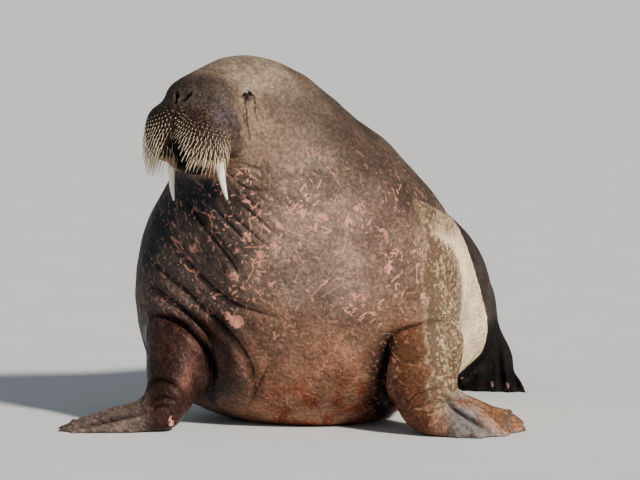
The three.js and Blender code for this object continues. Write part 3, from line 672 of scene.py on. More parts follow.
class HidePaint:
    """Lays the hide's tint, with its painted shade, sheen and highlights, and its wetness, scars, wrinkles and
    curls of dark hair on its mesh as attributes.
    """

    def __init__(self, mesh, marks):
        self.points, normals = points_of(mesh), normals_of(mesh)
        self.body, self.head = in_body(self.points), in_head(self.points)
        self.left, self.rear, self.height = self.body.T
        self.aside, self.behind, self.above = self.head.T
        self.across = self.body @ np.array(ACROSS)
        self.up = normals[:, 2]
        self.marks = marks
        self.gap = flank_gap(self.body)
        self.ragged = 0.05 * lumps(self.points, 0.16, 1) + 0.03 * lumps(self.points, 0.05, 2)
        self.blotch = lumps(self.points, 0.08, 3)
        mottle = 1 + 0.22 * lumps(self.points, 0.30, 7) + 0.16 * lumps(self.points, 0.11, 8)
        self.tint = np.tile(np.array(HIDE_BROWN), (len(self.points), 1)) * mottle[:, None]
        self.trunk()
        self.flank()
        self.wet_side()
        self.head_and_neck()
        self.muzzle()
        self.eyes()
        self.arms()
        self.paddles()
        tint = self.darkened()
        put_attribute(mesh, "hide_tint", np.hstack([tint, np.ones((len(tint), 1))]), "FLOAT_COLOR", "color")
        put_attribute(mesh, "hide_wet", self.wetness())
        put_attribute(mesh, "hide_scars", self.scars())
        put_attribute(mesh, "hide_curls", self.curls())
        put_attribute(mesh, "hide_wrinkles", self.wrinkles())
        put_attribute(mesh, "hide_sores", marks["sore"])
        put_attribute(mesh, "hide_pebbles", self.pebbles())

    def lay(self, colour, weight):
        """Moves the tint towards a colour by a weight."""
        self.tint = toned(self.tint, colour, weight)

    def trunk(self):
        """The beige back, painted shade on the upward-facing back and nape, a painted sheen on the chest, the
        warm chest and the rust of the belly.
        """
        rear, height, ragged = self.rear, self.height, self.ragged
        back = ease(rear + 0.45 * height + ragged, 0.24, 0.62)
        self.back = back * ease(self.up + 0.5 * self.blotch, -0.25, 0.45)
        self.lay(BACK_BEIGE, 0.9 * self.back)
        upper = ease(self.up + 0.4 * ragged, 0.05, 0.50) * ease(height, 0.55, 0.80)
        self.upper = upper * ease(self.behind, 0.05, 0.42)
        # Painted shade: the upward-facing upper back and nape are darkened by up to about half.
        self.tint = self.tint * (1 - 0.52 * self.upper)[:, None]
        # Painted sheen: a lighter patch on the middle of the chest, which is also made damper.
        sheen = bell((self.across + 0.08 + 0.25 * (height - 0.72), 0.16), (height - 0.72, 0.21))
        self.sheen = sheen * ease(rear, -0.05, -0.15) * (0.80 + 5 * ragged)
        self.lay(CHEST_PAINTED_SHEEN, np.clip(0.75 * self.sheen, 0, 0.8))
        self.low_front = ease(height + 2 * ragged, 0.58, 0.26) * ease(rear, 0.25, -0.05)
        self.lay(CHEST_WARM, 0.9 * self.low_front)
        streak = lumps(self.points * np.array([3.2, 3.2, 0.8]), 0.16, 9)
        rust = ease(height + ragged + 0.10 * streak, 0.36, 0.10) * ease(np.abs(self.across - 0.03), 0.32, 0.16)
        self.lay(BELLY_RUST, 0.9 * rust * ease(rear, 0.1, -0.1) * ease(streak, -0.30, 0.20))

    def flank(self):
        """The beige flank, the cream band behind it, both weaker on the animal's right, and the dark rump."""
        left, rear, height, ragged, gap = self.left, self.rear, self.height, self.ragged, self.gap
        side = ease(np.abs(left) + ragged, 0.22, 0.30) * ease(height, 0.06, 0.12)
        sideways = np.where(left > 0, self.across, -0.94 * left + 0.342 * rear)
        beige = ease(sideways + 0.8 * ragged, 0.335, 0.385) * ease(gap, 0.0, -0.02)
        beige = beige * ease(height + ragged, 1.02, 0.90) * ease(height, 0.05, 0.14)
        beige = beige * ease(rear + 0.5 * ragged, -0.34, -0.26)
        self.beige = beige * np.where(left > 0, 1.0, 0.7) * ease(rear + 2 * ragged, 1.05, 0.70)
        self.lay(FLANK_BEIGE, 0.9 * self.beige)
        thin = 0.34 * ease(sideways + 0.5 * ragged, 0.36, 0.44) + 0.30 * ease(gap + ragged, -0.40, -0.20)
        self.curly = self.beige * np.clip(0.86 - thin + 0.25 * ease(height, 0.70, 0.90), 0, 1)
        cream = ease(gap + 0.5 * ragged, -0.33, -0.24) * ease(gap, 0.004, -0.010) * side
        cream = cream * ease(height + ragged, 0.76, 0.64)
        self.cream = cream * np.where(left > 0, 1.0, 0.6) * ease(rear + 2 * ragged, 1.00, 0.62)
        self.lay(FLANK_CREAM, 0.92 * self.cream)
        rump = ease(gap, -0.004, 0.014) * ease(rear + ragged, 0.16, 0.34)
        self.rump = rump * ease(self.up - 0.2 * self.blotch, 0.98, 0.62)
        self.lay(RUMP_BROWN, 0.92 * self.rump)

    def wet_side(self):
        """The dark shoulder on the animal's right, and the wet hide under it and at the throat, darkened with a
        bluish painted shade that also stands for the head's shadow on the throat.
        """
        across, height, ragged = self.across, self.height, self.ragged
        shoulder = ease(across + ragged + 0.05 * ease(height, 0.85, 0.45), -0.18, -0.33)
        self.shoulder = shoulder * ease(self.rear, 0.35, 0.15) * ease(height, 0.97, 0.86)
        self.lay(SHOULDER_DARK, 0.85 * self.shoulder)
        wet = ease(across + ragged + 0.20 * ease(height, 0.80, 0.45), -0.46, -0.58)
        throat = ease(across + ragged, -0.34, -0.44) * ease(height, 0.74, 0.84) * ease(height, 1.08, 1.02)
        wet = np.maximum(wet, throat * ease(self.rear, -0.28, -0.40))
        off_head = 1 - ease(self.above, -0.27, -0.22) * ease(self.behind, 0.20, 0.12)
        self.wet = wet * off_head
        # Wet dark hide, with bluish painted shade on the side away from the key sun and under the head.
        self.lay(WET_HIDE_AND_SHADE, 0.96 * self.wet)

    def head_and_neck(self):
        """The grey crown and nape, the brown cheek and the olive face."""
        aside, behind, above, ragged = self.aside, self.behind, self.above, self.ragged
        crown = ease(above + 1.5 * ragged, 0.0, 0.12) * ease(behind, -0.12, 0.0)
        self.crown = crown * ease(behind + ragged, 0.40, 0.10)
        nape = ease(behind, 0.03, 0.18) * ease(self.up, 0.1, 0.6) * ease(self.height, 0.80, 1.0)
        self.lay(CROWN_GREY, 0.85 * np.maximum(self.crown, 0.6 * nape * (1 - self.upper)))
        cheek = ease(behind, 0.14, 0.02) * ease(above, -0.26, -0.20) * ease(above, 0.06, 0.02)
        self.cheek = cheek * ease(np.abs(aside), 0.26, 0.22)
        self.lay(CHEEK_BROWN, 0.85 * self.cheek)
        face = ease(behind + 0.28 * np.abs(aside) + 0.3 * ragged, 0.035, -0.035)
        self.face = face * ease(above, -0.30, -0.24) * ease(above + 0.45 * behind, 0.055, 0.015)
        self.lay(FACE_OLIVE, 0.92 * self.face)
        # A purplish band along each pad's outer edge: partly the hide's tone and partly a painted bluish sheen.
        edge = bell((np.abs(aside) - 0.172, 0.018)) * ease(above, -0.015, -0.055)
        edge = edge * ease(above, -0.235, -0.20) * ease(behind, -0.045, -0.075) * ease(behind, -0.19, -0.15)
        self.lay(CHEEK_EDGE_AND_SHEEN, 0.75 * edge)

    def muzzle(self):
        """The septum, the two dark pads, the one on the animal's right darker, painted shadow under the pads,
        the chin with painted light from below, and the lip.
        """
        aside, behind, above = self.aside, self.behind, self.above
        septum = ease(np.abs(aside + 0.012), 0.030, 0.014) * ease(above, -0.11, -0.07) * ease(above, 0.0, -0.02)
        self.lay(SEPTUM, 0.8 * septum * ease(behind, -0.12, -0.15))
        pads = muzzle_share(self.head)
        self.pads = pads * (1 - 0.8 * ease(np.abs(aside) + 0.5 * (above + 0.10), 0.165, 0.205))
        self.lay(PAD_BROWN, 0.9 * self.pads)
        self.lay(FAR_PAD, 0.7 * self.pads * ease(aside, 0.0, -0.05))
        # Painted shadow under the pads, in the lip's black.
        self.lay(LIP_AND_SHADOW_BLACK, 0.75 * (self.pads * ease(above, -0.175, -0.215)))
        # The chin's brown, made lighter with painted light from below.
        below = ease(above, -0.206, -0.220) * ease(above, -0.31, -0.28) * ease(behind, -0.02, -0.07)
        self.lay(CHIN_BROWN_LIT_BELOW, 0.8 * below)
        self.lay(LIP_AND_SHADOW_BLACK, self.marks["lip"])

    def eyes(self):
        """The dark patch under each eye and the pale upper lids."""
        broken = ease(lumps(self.points, 0.012, 5), -0.8, 0.0)
        for side, sign in SIDES.items():
            middle = eye_in_head(side)
            near = np.hypot((self.behind - middle[1] + 0.005) * 0.85, self.above - middle[2] + 0.013)
            patch = np.exp(-(near / 0.020) ** 4) * ease(self.above - middle[2], 0.010, 0.002)
            self.lay(EYE_PURPLE, patch * ease(self.aside * sign, 0.06, 0.08) * broken * 0.9)
        self.lay(LID_PALE, 0.8 * self.marks["lid"])

    def arms(self):
        """The wet dark right arm and the tan left one."""
        left, rear, height, across = self.left, self.rear, self.height, self.across
        right_arm = ease(np.hypot(left + 0.44, rear + 0.34), 0.235, 0.19) * ease(height, 0.46, 0.40)
        self.right_arm = right_arm * ease(rear + 0.45 * (left + 0.47), -0.14, -0.22)
        self.lay(ARM_DARK, 0.9 * self.right_arm)
        left_arm = ease(np.hypot(left - 0.43, rear + 0.13), 0.26, 0.20) * ease(height, 0.48, 0.36)
        self.left_arm = left_arm * ease(across, 0.20, 0.26) * ease(across + 1.6 * self.ragged, 0.400, 0.355)
        self.lay(LEFT_ARM_TAN, 0.85 * self.left_arm)

    def paddles(self):
        """The dark right foreflipper, the grey and tan left one, and the black hind flippers."""
        left, rear, blotch = self.left, self.rear, self.blotch
        self.paddle = on_flippers(self.points)
        self.fore = self.paddle * ease(rear, 0.7, 0.6)
        self.lay(FORE_DARK, self.fore)
        on_left = self.fore * ease(left, 0.3, 0.4)
        self.lay(FORE_GREY, on_left)
        self.tan = on_left * ease(blotch, -0.50, -0.05) * ease(rear + 0.1 * blotch, -0.19, -0.10)
        self.lay(FORE_TAN, 0.95 * self.tan * ease(left + 0.2 * blotch, 0.83, 0.74))
        hind = ease(rear, 0.86, 0.92) * ease(self.height, 0.30, 0.24) * ease(np.abs(left), 0.24, 0.29)
        self.hind = np.maximum(hind, self.paddle * ease(rear, 0.6, 0.7))
        self.lay(HIND_BLACK, self.hind)

    def darkened(self):
        """The tint, with painted shade in folds, eye slits, lid wrinkles and nostrils, darker tear streaks, and
        painted shade and highlight along the listed lines.
        """
        marks = self.marks
        streaks = marks["streak"] * ease(lumps(self.points, 0.014, 4), -0.55, 0.05)
        # Painted shade in fold grooves, eye slits, lid wrinkles and nostrils; the tear streaks are stains.
        dark = np.clip(0.80 * marks["fold"] + 0.97 * marks["slit"] + 0.85 * streaks, 0, 0.97)
        # Painted shade along the listed lines, and a painted highlight where this is below 0.
        shade = np.clip(marks["gap"], -4.0, 0.93)
        return np.clip(self.tint, 0.003, 1) * (1 - dark)[:, None] * (1 - shade)[:, None]

    def wetness(self):
        damp = np.maximum.reduce([0.35 * self.wet, 0.9 * self.right_arm, 0.45 * self.sheen, 0.2 * self.shoulder,
                                  0.1 * self.face, 0.1 * self.pads, 0.6 * self.marks["lip"], 0.3 * self.paddle])
        return np.clip(damp, 0, 1) - 0.5 * self.hind

    def scars(self):
        """How far scars may show: least on the face, flippers, back and flank, and most on the chest."""
        free = (0.95 * self.face + self.pads + 0.75 * self.curly + 0.8 * self.fore + 0.9 * self.hind
                + 0.6 * self.back + 0.5 * self.crown + 0.8 * self.cream + 0.6 * self.rump + 0.3 * self.beige)
        scars = (1 - np.clip(free, 0, 1)) * (0.35 + 0.65 * ease(self.rear, 0.3, -0.1))
        scars = scars * ease(self.height, 1.12, 0.92)
        for area, less in ((self.right_arm, 0.85), (self.shoulder, 0.35), (self.cheek, 1), (self.upper, 0.5),
                           (self.wet, 0.5), (self.low_front, 0.60)):
            scars = scars * (1 - less * area)
        return scars

    def curls(self):
        bare = (1 - self.cream) * (1 - self.left_arm) * (1 - self.paddle)
        return np.clip(self.curly * bare + 0.45 * self.tan, 0, 1)

    def wrinkles(self):
        neck_front = bell((self.across + 0.22, 0.16), (self.height - 0.86, 0.16))
        return np.clip(0.6 * neck_front + 0.9 * np.maximum(self.shoulder, self.wet) + 0.6 * self.paddle
                       + 0.35 * self.cheek + 0.25, 0, 1)

    def pebbles(self):
        return np.clip(self.pads * ease(self.above, -0.16, -0.12) + 0.35 * self.face, 0, 1)


# Scars, one stroke a cell: cells a metre, half width and half length as shares of a cell, and rarity.
SCAR_LAYERS = [
    (21, 0.075, 0.44, 0.42), (34, 0.095, 0.42, 0.46), (52, 0.130, 0.34, 0.55), (11, 0.020, 0.55, 0.50),
    (27, 0.110, 0.30, 0.60),
]


# Materials.
class Finish:
    """A material with one glossy shader and short calls for its nodes."""

    def __init__(self, name, **sockets):
        self.material = bpy.data.materials.new(name)
        self.material.use_nodes = True
        self.nodes = self.material.node_tree.nodes
        self.links = self.material.node_tree.links
        self.shader = next(n for n in self.nodes if n.type == "BSDF_PRINCIPLED")
        for key, value in sockets.items():
            self.shader.inputs[key.replace("_", " ")].default_value = value
        self.place = self.nodes.new("ShaderNodeTexCoord").outputs["Object"]

    def feed(self, socket, value):
        if isinstance(value, bpy.types.NodeSocket):
            self.links.new(value, socket)
        elif value is not None:
            socket.default_value = value

    def node(self, kind, output=0, settings=None, **inputs):
        made = self.nodes.new("ShaderNode" + kind)
        for key, value in (settings or {}).items():
            setattr(made, key, value)
        for key, value in inputs.items():
            index = int(key[2:]) if key.startswith("in") and key[2:].isdigit() else key.replace("_", " ")
            self.feed(made.inputs[index], value)
        return made.outputs[output]

    def math(self, operation, first, second=None):
        return self.node("Math", settings={"operation": operation, "use_clamp": False}, in0=first, in1=second)

    def times(self, first, second):
        return self.math("MULTIPLY", first, second)

    def ramp(self, value, start, end, low=0.0, high=1.0):
        return self.node("MapRange", settings={"interpolation_type": "SMOOTHSTEP"}, Value=value,
                         From_Min=start, From_Max=end, To_Min=low, To_Max=high)

    def noise(self, scale, detail=4.0, roughness=0.55, place=None):
        return self.node("TexNoise", Vector=place or self.place,
                         Scale=scale, Detail=detail, Roughness=roughness)

    def cells(self, scale, output="Distance", place=None, feature="F1"):
        return self.node("TexVoronoi", output=output, settings={"feature": feature},
                         Vector=place or self.place, Scale=scale)

    def lined(self, stretch):
        """Coordinates stretched along the folds of the shoulder, which run down and to the animal's left."""
        along = ACROSS * 0.61 - Vector((0, 0, 0.79))
        beside = ACROSS * 0.79 + Vector((0, 0, 0.61))
        x, y, z = (self.dot(self.place, way) for way in (along * stretch, beside, AWAY))
        return self.node("CombineXYZ", X=x, Y=y, Z=z)

    def mapped(self, scale, turn=(0, 0, 0)):
        return self.node("Mapping", Vector=self.place, Scale=scale, Rotation=turn)

    def mixed(self, share, first, second, blend="MIX"):
        made = self.nodes.new("ShaderNodeMix")
        made.data_type, made.blend_type = "RGBA", blend
        for index, value in ((0, share), (6, first), (7, second)):
            self.feed(made.inputs[index], value)
        return made.outputs[2]

    def shaded(self, colour, shade):
        """A colour multiplied by another or by a number."""
        return self.mixed(1.0, colour, shade, "MULTIPLY")

    def vector(self, operation, first, second=None, scale=None, output="Vector"):
        extra = {} if scale is None else {"Scale": scale}
        settings = {"operation": operation}
        return self.node("VectorMath", output=output, settings=settings, in0=first, in1=second, **extra)

    def dot(self, first, second):
        return self.vector("DOT_PRODUCT", first, second, output="Value")

    def strokes(self, place, cells, half_width, half_length, rarity):
        """One thin flat plate a cell, turned at random, which the surface cuts to a short stroke."""
        scaled = self.vector("SCALE", place, scale=cells)
        distance, chance, middle = (self.cells(1.0, key, scaled) for key in ("Distance", "Color", "Position"))
        facing = self.vector("NORMALIZE", self.vector("SUBTRACT", chance, (0.5, 0.5, 0.5)))
        apart = self.math("ABSOLUTE", self.dot(self.vector("SUBTRACT", scaled, middle), facing))
        draw = self.math("FRACT", self.dot(chance, (12.9, 78.2, 37.7)))
        thin = self.ramp(apart, half_width * 0.6, half_width, 1.0, 0.0)
        short = self.ramp(distance, half_length * 0.75, half_length, 1.0, 0.0)
        return self.times(self.times(thin, short), self.ramp(draw, rarity, rarity + 0.04))

    def attribute(self, name, output="Fac"):
        made = self.nodes.new("ShaderNodeAttribute")
        made.attribute_name = name
        return made.outputs[output]

    def coloured(self, colour):
        self.links.new(colour, self.shader.inputs["Base Color"])

    def bumped(self, layers):
        normal = None
        for height, strength, distance in layers:
            normal = self.node("Bump", Strength=strength, Distance=distance, Height=height, Normal=normal)
        self.links.new(normal, self.shader.inputs["Normal"])


def opaque(colour):
    return (*colour, 1)


def scar_marks(finish):
    """Where the pink strokes of the scars and the patches of the sores lie."""
    wander = finish.node("TexNoise", output="Color", Vector=finish.place, Scale=34.0, Detail=3.0)
    warped = finish.vector("ADD", finish.place, finish.vector("SCALE", wander, scale=0.009))
    marks = None
    for layer in SCAR_LAYERS:
        mark = finish.strokes(warped, *layer)
        marks = mark if marks is None else finish.math("MAXIMUM", marks, mark)
    crowd = finish.ramp(finish.noise(7, 3), 0.38, 0.60, 0.30, 1.0)
    marks = finish.times(marks, finish.times(finish.attribute("hide_scars"), crowd))
    edge = finish.ramp(finish.noise(62, 4, 0.75), 0.30, 0.70, -0.75, 0.45)
    sores = finish.math("ADD", finish.attribute("hide_sores"), edge)
    return finish.math("MAXIMUM", marks, finish.ramp(sores, 0.42, 0.56))


def curl_marks(finish):
    """Where curls of dark hair cover the flank: more of them where the attribute is larger."""
    curled = finish.node("TexNoise", Vector=finish.place,
                         Scale=58.0, Detail=5.0, Roughness=0.75, Distortion=0.4)
    covered = finish.attribute("hide_curls")
    curls = finish.ramp(finish.math("ADD", curled, finish.times(covered, 0.42)), 0.66, 0.72)
    return finish.times(curls, finish.ramp(covered, 0.02, 0.20))


def hide_finish():
    """Brown hide with mottling, pebbled wrinkles with painted shade in them, pink scars, curls of dark hair and
    short pale hairs.
    """
    finish = Finish("walrus_hide", Specular_IOR_Level=0.13)
    wrinkled, pebbled = finish.attribute("hide_wrinkles"), finish.attribute("hide_pebbles")
    broad = finish.ramp(finish.noise(6.5, 5, 0.66), 0.32, 0.68, 0.68, 1.34)
    speckle = finish.ramp(finish.noise(78, 5, 0.75), 0.36, 0.66, 0.62, 1.42)
    colour = finish.shaded(finish.attribute("hide_tint", "Color"), finish.times(broad, speckle))
    lined = finish.noise(46, 4, 0.65, finish.lined(0.22))
    lines = finish.ramp(lined, 0.36, 0.62, 0.70, 1.18)
    # Painted shade and light along the wrinkle lines, from the same noise as their bump.
    colour = finish.mixed(wrinkled, colour, finish.shaded(colour, lines))
    # Pale pebble dots on the pads and face, with painted shade round each dot.
    dots = finish.cells(118, place=finish.mapped((1, 1, 1.15)))
    dotted = finish.shaded(colour, finish.ramp(dots, 0.15, 0.60, 1.75, 0.42))
    colour = finish.mixed(pebbled, colour, dotted)
    colour = finish.mixed(finish.times(curl_marks(finish), 0.90), colour, opaque(CURL_BROWN))
    marks = scar_marks(finish)
    pink = finish.mixed(finish.ramp(finish.noise(48, 3), 0.4, 0.62), opaque(colours().scar), opaque(OLD_SCAR))
    colour = finish.mixed(finish.times(marks, 0.90), colour, pink)
    hairs = finish.ramp(finish.noise(420, 2, 0.6, finish.mapped((1, 1, 0.3))), 0.58, 0.72)
    haired = finish.shaded(colour, opaque(PALE_HAIR_LIFT))
    finish.coloured(finish.mixed(finish.times(hairs, 0.60), colour, haired))
    grain = finish.ramp(finish.noise(30, 4), 0.3, 0.7, -0.08, 0.08)
    rough = finish.math("ADD", finish.ramp(finish.attribute("hide_wet"), -0.5, 1.0, 0.82, 0.30), grain)
    finish.links.new(rough, finish.shader.inputs["Roughness"])
    finish.bumped([
        (finish.times(lined, wrinkled), 0.60, 0.012),
        (finish.noise(24, 4, 0.6, finish.mapped((1, 1, 2.2), (0.5, 0.2, 0))), 0.45, 0.010),
        (finish.cells(85, feature="SMOOTH_F1"), 0.50, 0.005),
        (finish.noise(320, 3, 0.7), 0.40, 0.0015),
        (marks, 0.30, 0.0015),
        (finish.times(finish.ramp(dots, 0.1, 0.6, 1.0, 0.0), pebbled), 0.60, 0.0030),
    ])
    return finish.material


def ivory_finish():
    """Ivory with faint lengthwise streaks and soft stains."""
    finish = Finish("tusk_ivory", Roughness=0.32, Specular_IOR_Level=0.5, Subsurface_Weight=0.08)
    streaks = finish.ramp(finish.noise(90, 4, 0.6, finish.mapped((1, 1, 0.08))), 0.35, 0.70)
    stain = finish.ramp(finish.noise(28, 4), 0.45, 0.75)
    colour = finish.mixed(finish.times(streaks, 0.28), opaque(colours().ivory), opaque(IVORY_STREAK))
    finish.coloured(finish.mixed(finish.times(stain, 0.14), colour, opaque(IVORY_STAIN)))
    finish.bumped([(streaks, 0.25, 0.001)])
    return finish.material


def two_tone(name, scale, limits, first, second, detail=3, **sockets):
    """A finish that wanders softly between two colours."""
    finish = Finish(name, **sockets)
    shade = finish.ramp(finish.noise(scale, detail), *limits)
    finish.coloured(finish.mixed(shade, opaque(first), opaque(second)))
    return finish.material


def whisker_finish():
    """Pale straw bristle, horn-brown in places."""
    return two_tone("whisker_bristle", 45, (0.35, 0.7), colours().whisker, WHISKER_HORN,
                    Roughness=0.38, Specular_IOR_Level=0.5)


def eye_finish():
    """Wet, nearly black eye with a faint brown cast."""
    return two_tone("walrus_eye", 120, (0.4, 0.7), EYE_DARK, EYE_RING, Roughness=0.14, Specular_IOR_Level=0.45,
                    Coat_Weight=0.15, Coat_Roughness=0.08)


def nail_finish():
    """Small horn nails, reddish brown."""
    return two_tone("nail_horn", 160, (0.35, 0.7), NAIL_DARK, NAIL_PALE, Roughness=0.45, Specular_IOR_Level=0.5)


def floor_finish():
    """Plain pale floor with a trace of grain."""
    pale = colours().floor
    return two_tone("pale_floor", 3, (0.3, 0.7), pale, [c * FLOOR_GRAIN for c in pale], Roughness=0.75)


def dress(obj, material):
    """Gives a piece its finish and its body."""
    obj.data.materials.clear()
    obj.data.materials.append(material)
    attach(obj, "root")
    return obj


def smooth_all(obj):
    obj.data.polygons.foreach_set("use_smooth", np.ones(len(obj.data.polygons), bool))


class WALRUS_OT_skin(bpy.types.Operator):
    """Build the one hide that covers the trunk, head and limbs"""
    bl_idname = "walrus.skin"
    bl_label = "Hide"

    def execute(self, context):
        parts = []
        for name in FLESH:
            part = bpy.data.objects.new(name + "_flesh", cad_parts[name].data.copy())
            context.scene.collection.objects.link(part)
            parts.append(part)
        for side, sign in SIDES.items():
            parts.append(rounded_solid("pad_flesh", pad_middle(sign), PAD_RADII, PAD_SQUARENESS))
            socket = eye_in_head(side) - np.array([SOCKET_INSET * sign, 0, 0])
            parts.append(rounded_solid("socket_flesh", socket, (SOCKET_RADIUS,) * 3))
        parts.append(rounded_solid("upper_lip_flesh", *UPPER_LIP, UPPER_LIP_SQUARENESS))
        parts.append(rounded_solid("lower_lip_flesh", *LOWER_LIP))
        skin = joined(parts, "walrus_hide")
        edit_all(skin, bpy.ops.mesh.remove_doubles, threshold=MERGE_DISTANCE)
        apply_modifier(skin, "DISPLACE", strength=SKIN_THICKNESS, mid_level=0)
        apply_modifier(skin, "REMESH", mode="VOXEL", voxel_size=sizes().hide_mesh)
        self.soften(skin.data)
        lines = self.fold_lines(tree_of(skin))
        self.refine_regions(skin, lines)
        marks = self.sculpt(skin, lines)
        HidePaint(skin.data, marks)
        self.thin_out(skin, marks)
        smooth_all(skin)
        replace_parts(dress(skin, hide_finish()), *FLESH, *PADS)
        return {"FINISHED"}

    @staticmethod
    def thin_out(skin, marks):
        """Takes out points where the hide is even, and none at the lids, nostrils, lip and tear streaks."""
        kept = np.maximum.reduce([marks["slit"], marks["streak"], marks["lip"]]) > 0.05
        group = skin.vertex_groups.new(name="even_hide")
        group.add(np.flatnonzero(~kept).tolist(), 1.0, "REPLACE")
        skin.data.calc_loop_triangles()
        apply_modifier(skin, "DECIMATE", ratio=HIDE_TRIANGLES / len(skin.data.loop_triangles),
                       vertex_group=group.name, use_collapse_triangulate=True)
        skin.vertex_groups.clear()

    @staticmethod
    def soften(mesh):
        """Rounds the facets of the solids away, most on the trunk and least on pads and flippers."""
        points = points_of(mesh)
        body, head = in_body(points), in_head(points)
        on_head = ease(head[:, 1], 0.12, 0.02) * ease(head[:, 2], -0.34, -0.26)
        paddle = on_flippers(points)
        weight = np.clip(1 - 0.75 * on_head - 0.85 * paddle, 0.1, 1)
        edges = edges_of(mesh)
        points = relax(points, edges, weight, GENERAL_ROUNDS)
        for middle, radius, rounds in SOFT_JOINTS:
            near = ease(np.linalg.norm(body - np.array(middle), axis=1), radius, radius * 0.55)
            points = relax(points, edges, near, rounds)
        from_snout = (head - np.array(SNOUT_TOP)) / np.array([1.5, 1, 1])
        points = relax(points, edges, ease(np.linalg.norm(from_snout, axis=1), 0.10, 0.06), SNOUT_ROUNDS)
        for name in ("foreflipper_right", "foreflipper_left"):
            wrist = np.array([*FLIPPERS[name][0], WRIST_HEIGHT])
            near = ease(np.linalg.norm(body - wrist, axis=1), 0.20, 0.12)
            points = relax(points, edges, near, WRIST_ROUNDS)
        set_points(mesh, points)

    @staticmethod
    def fold_lines(tree):
        """The folds' lines on the hide, each with its groove width, depth and roll."""
        lines = [(cast_seen(tree, places), *shape) for places, *shape in SEEN_FOLDS + FACE_FOLDS]
        lines += [(cast_far(tree, places), *shape) for places, *shape in FAR_FOLDS]
        for name in FLIPPERS:
            for start, end in digit_lines(name)["groove"]:
                hits = [drop_onto(tree, start.lerp(end, t))[0] for t in np.linspace(0.22, 0.99, 14)]
                lines.append((np.array([h for h in hits if h is not None]), 0.008, 0.014, 0.014))
        return [line for line in lines if len(line[0]) > 2]

    @staticmethod
    def refine_regions(skin, lines):
        """Splits the faces of the head, flippers and folds, the finest ones more than once."""
        def head_front(p):
            h = in_head(p)
            return (h[:, 1] < 0.10) & (h[:, 2] > -0.31) & (np.linalg.norm(h, axis=1) < 0.40)

        def face(p):
            h = in_head(p)
            high = (h[:, 2] > -0.285) & (h[:, 2] < 0.05)
            return high & (h[:, 1] < 0.035) & (np.linalg.norm(h, axis=1) < 0.33)

        def eyes(p):
            h = in_head(p)
            return (np.abs(h[:, 0]) > 0.06) & (np.hypot(h[:, 1] - LEFT_EYE.y, h[:, 2] - LEFT_EYE.z) < 0.042)

        def paddles(p):
            return (on_flippers(p) > 0.3) & (p[:, 2] > 0.006)

        def by_folds(reach):
            return lambda p: np.any([nearest_on(p, line, 0.03)[0] < reach for line, *_ in lines], axis=0)

        for region in (head_front, face, eyes, paddles, by_folds(0.026), by_folds(0.011)):
            refine(skin, region)

    @staticmethod
    def sculpt(skin, lines):
        """Presses the folds, lids, nostrils, lip, ear pits and digit grooves into the hide."""
        mesh = skin.data
        points, normals = points_of(mesh), normals_of(mesh)
        tree = tree_of(skin)
        body, head = in_body(points), in_head(points)
        calm = 1 - 0.7 * ease(np.linalg.norm(head, axis=1), 0.36, 0.28)
        rise = 0.0050 * lumps(points, 0.20, 5) + 0.0024 * lumps(points, 0.06, 6)
        rise = rise * ease(points[:, 2], 0.02, 0.12) * calm
        gap = flank_gap(body)
        height = body[:, 2]
        side = ease(np.abs(body[:, 0]), 0.24, 0.36) * ease(height, 0.04, 0.12) * ease(height, 0.86, 0.74)
        step = ease(gap, -0.14, -0.010) * (1 - ease(gap, -0.006, 0.020))
        dent = ease(gap, -0.004, 0.016) * ease(gap, 0.22, 0.03)
        rise += side * (FLANK_ROLL_RISE * step - FLANK_DENT * dent)
        marks = {name: np.zeros(len(points)) for name in ("gap", "streak", "sore")}
        # Painted shade in the crease where the flank's rolls end.
        marks["fold"] = side * 0.55 * bell((gap - 0.010, 0.010))
        share = sizes().fold_depth
        for line, width, depth, roll in lines:
            distance, along = nearest_on(points, line, 0.09)
            lift, groove = fold_shape(distance, along, width, depth * share, roll)
            rise += lift
            # Painted shade in each fold's groove, darker for deeper folds.
            marks["fold"] = np.maximum(marks["fold"], groove * min(1.0, depth / 0.010))
        # Painted shade along the listed lines, and a painted highlight where the darkness is below 0.
        for places, reach, darkness in PAINTED_SHADE_AND_HIGHLIGHT_LINES:
            distance, _ = nearest_on(points, cast_seen(tree, places), 3 * reach)
            marks["gap"] += darkness * bell((distance, reach))
        for places in TEAR_STREAKS:
            distance, _ = nearest_on(points, cast_seen(tree, places), 0.02)
            marks["streak"] = np.maximum(marks["streak"], bell((distance, STREAK_HALF_WIDTH)))
        for place, radius in SORES:
            spot, *_ = tree.ray_cast(EYE_POINT, picture_ray(*place))
            if spot is not None:
                near = np.linalg.norm(points - np.array(spot), axis=1)
                marks["sore"] = np.maximum(marks["sore"], ease(near, 1.5 * radius, 0.4 * radius))
        slits, marks["lid"] = eye_shape(head, rise)
        # Eye slits, lid wrinkles and nostrils, which get painted shade in the tint.
        marks["slit"] = np.maximum(slits, nostril_shape(head, rise))
        marks["lip"] = lip_shape(head, rise)
        ear_shape(head, rise)
        points = points + normals * rise[:, None]
        for place, reach, shift in SWELLINGS:
            near = bell((np.linalg.norm(body - np.array(place), axis=1), reach))
            points = points + np.array(ACROSS) * (shift * near)[:, None]
        points[:, 2] = np.maximum(points[:, 2], FLOOR_CLEARANCE)
        set_points(mesh, points)
        return marks


class WALRUS_OT_eyes(bpy.types.Operator):
    """Build the two dark eyes"""
    bl_idname = "walrus.eyes"
    bl_label = "Eyes"

    def execute(self, context):
        finish = eye_finish()
        for side, sign in SIDES.items():
            eye = ball(f"eyeball_{side}", 40, 24, EYE_RADIUS)
            middle = eye_middle(side)
            outward = HEAD_ROTATION @ Vector((sign, 0, 0))
            for vertex in eye.data.vertices:
                bulge = max(0.0, vertex.co.normalized().dot(outward) - 0.86) * 0.006
                vertex.co = middle + vertex.co + outward * bulge
            smooth_all(eye)
            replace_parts(dress(eye, finish), f"eye_{side}")
        return {"FINISHED"}


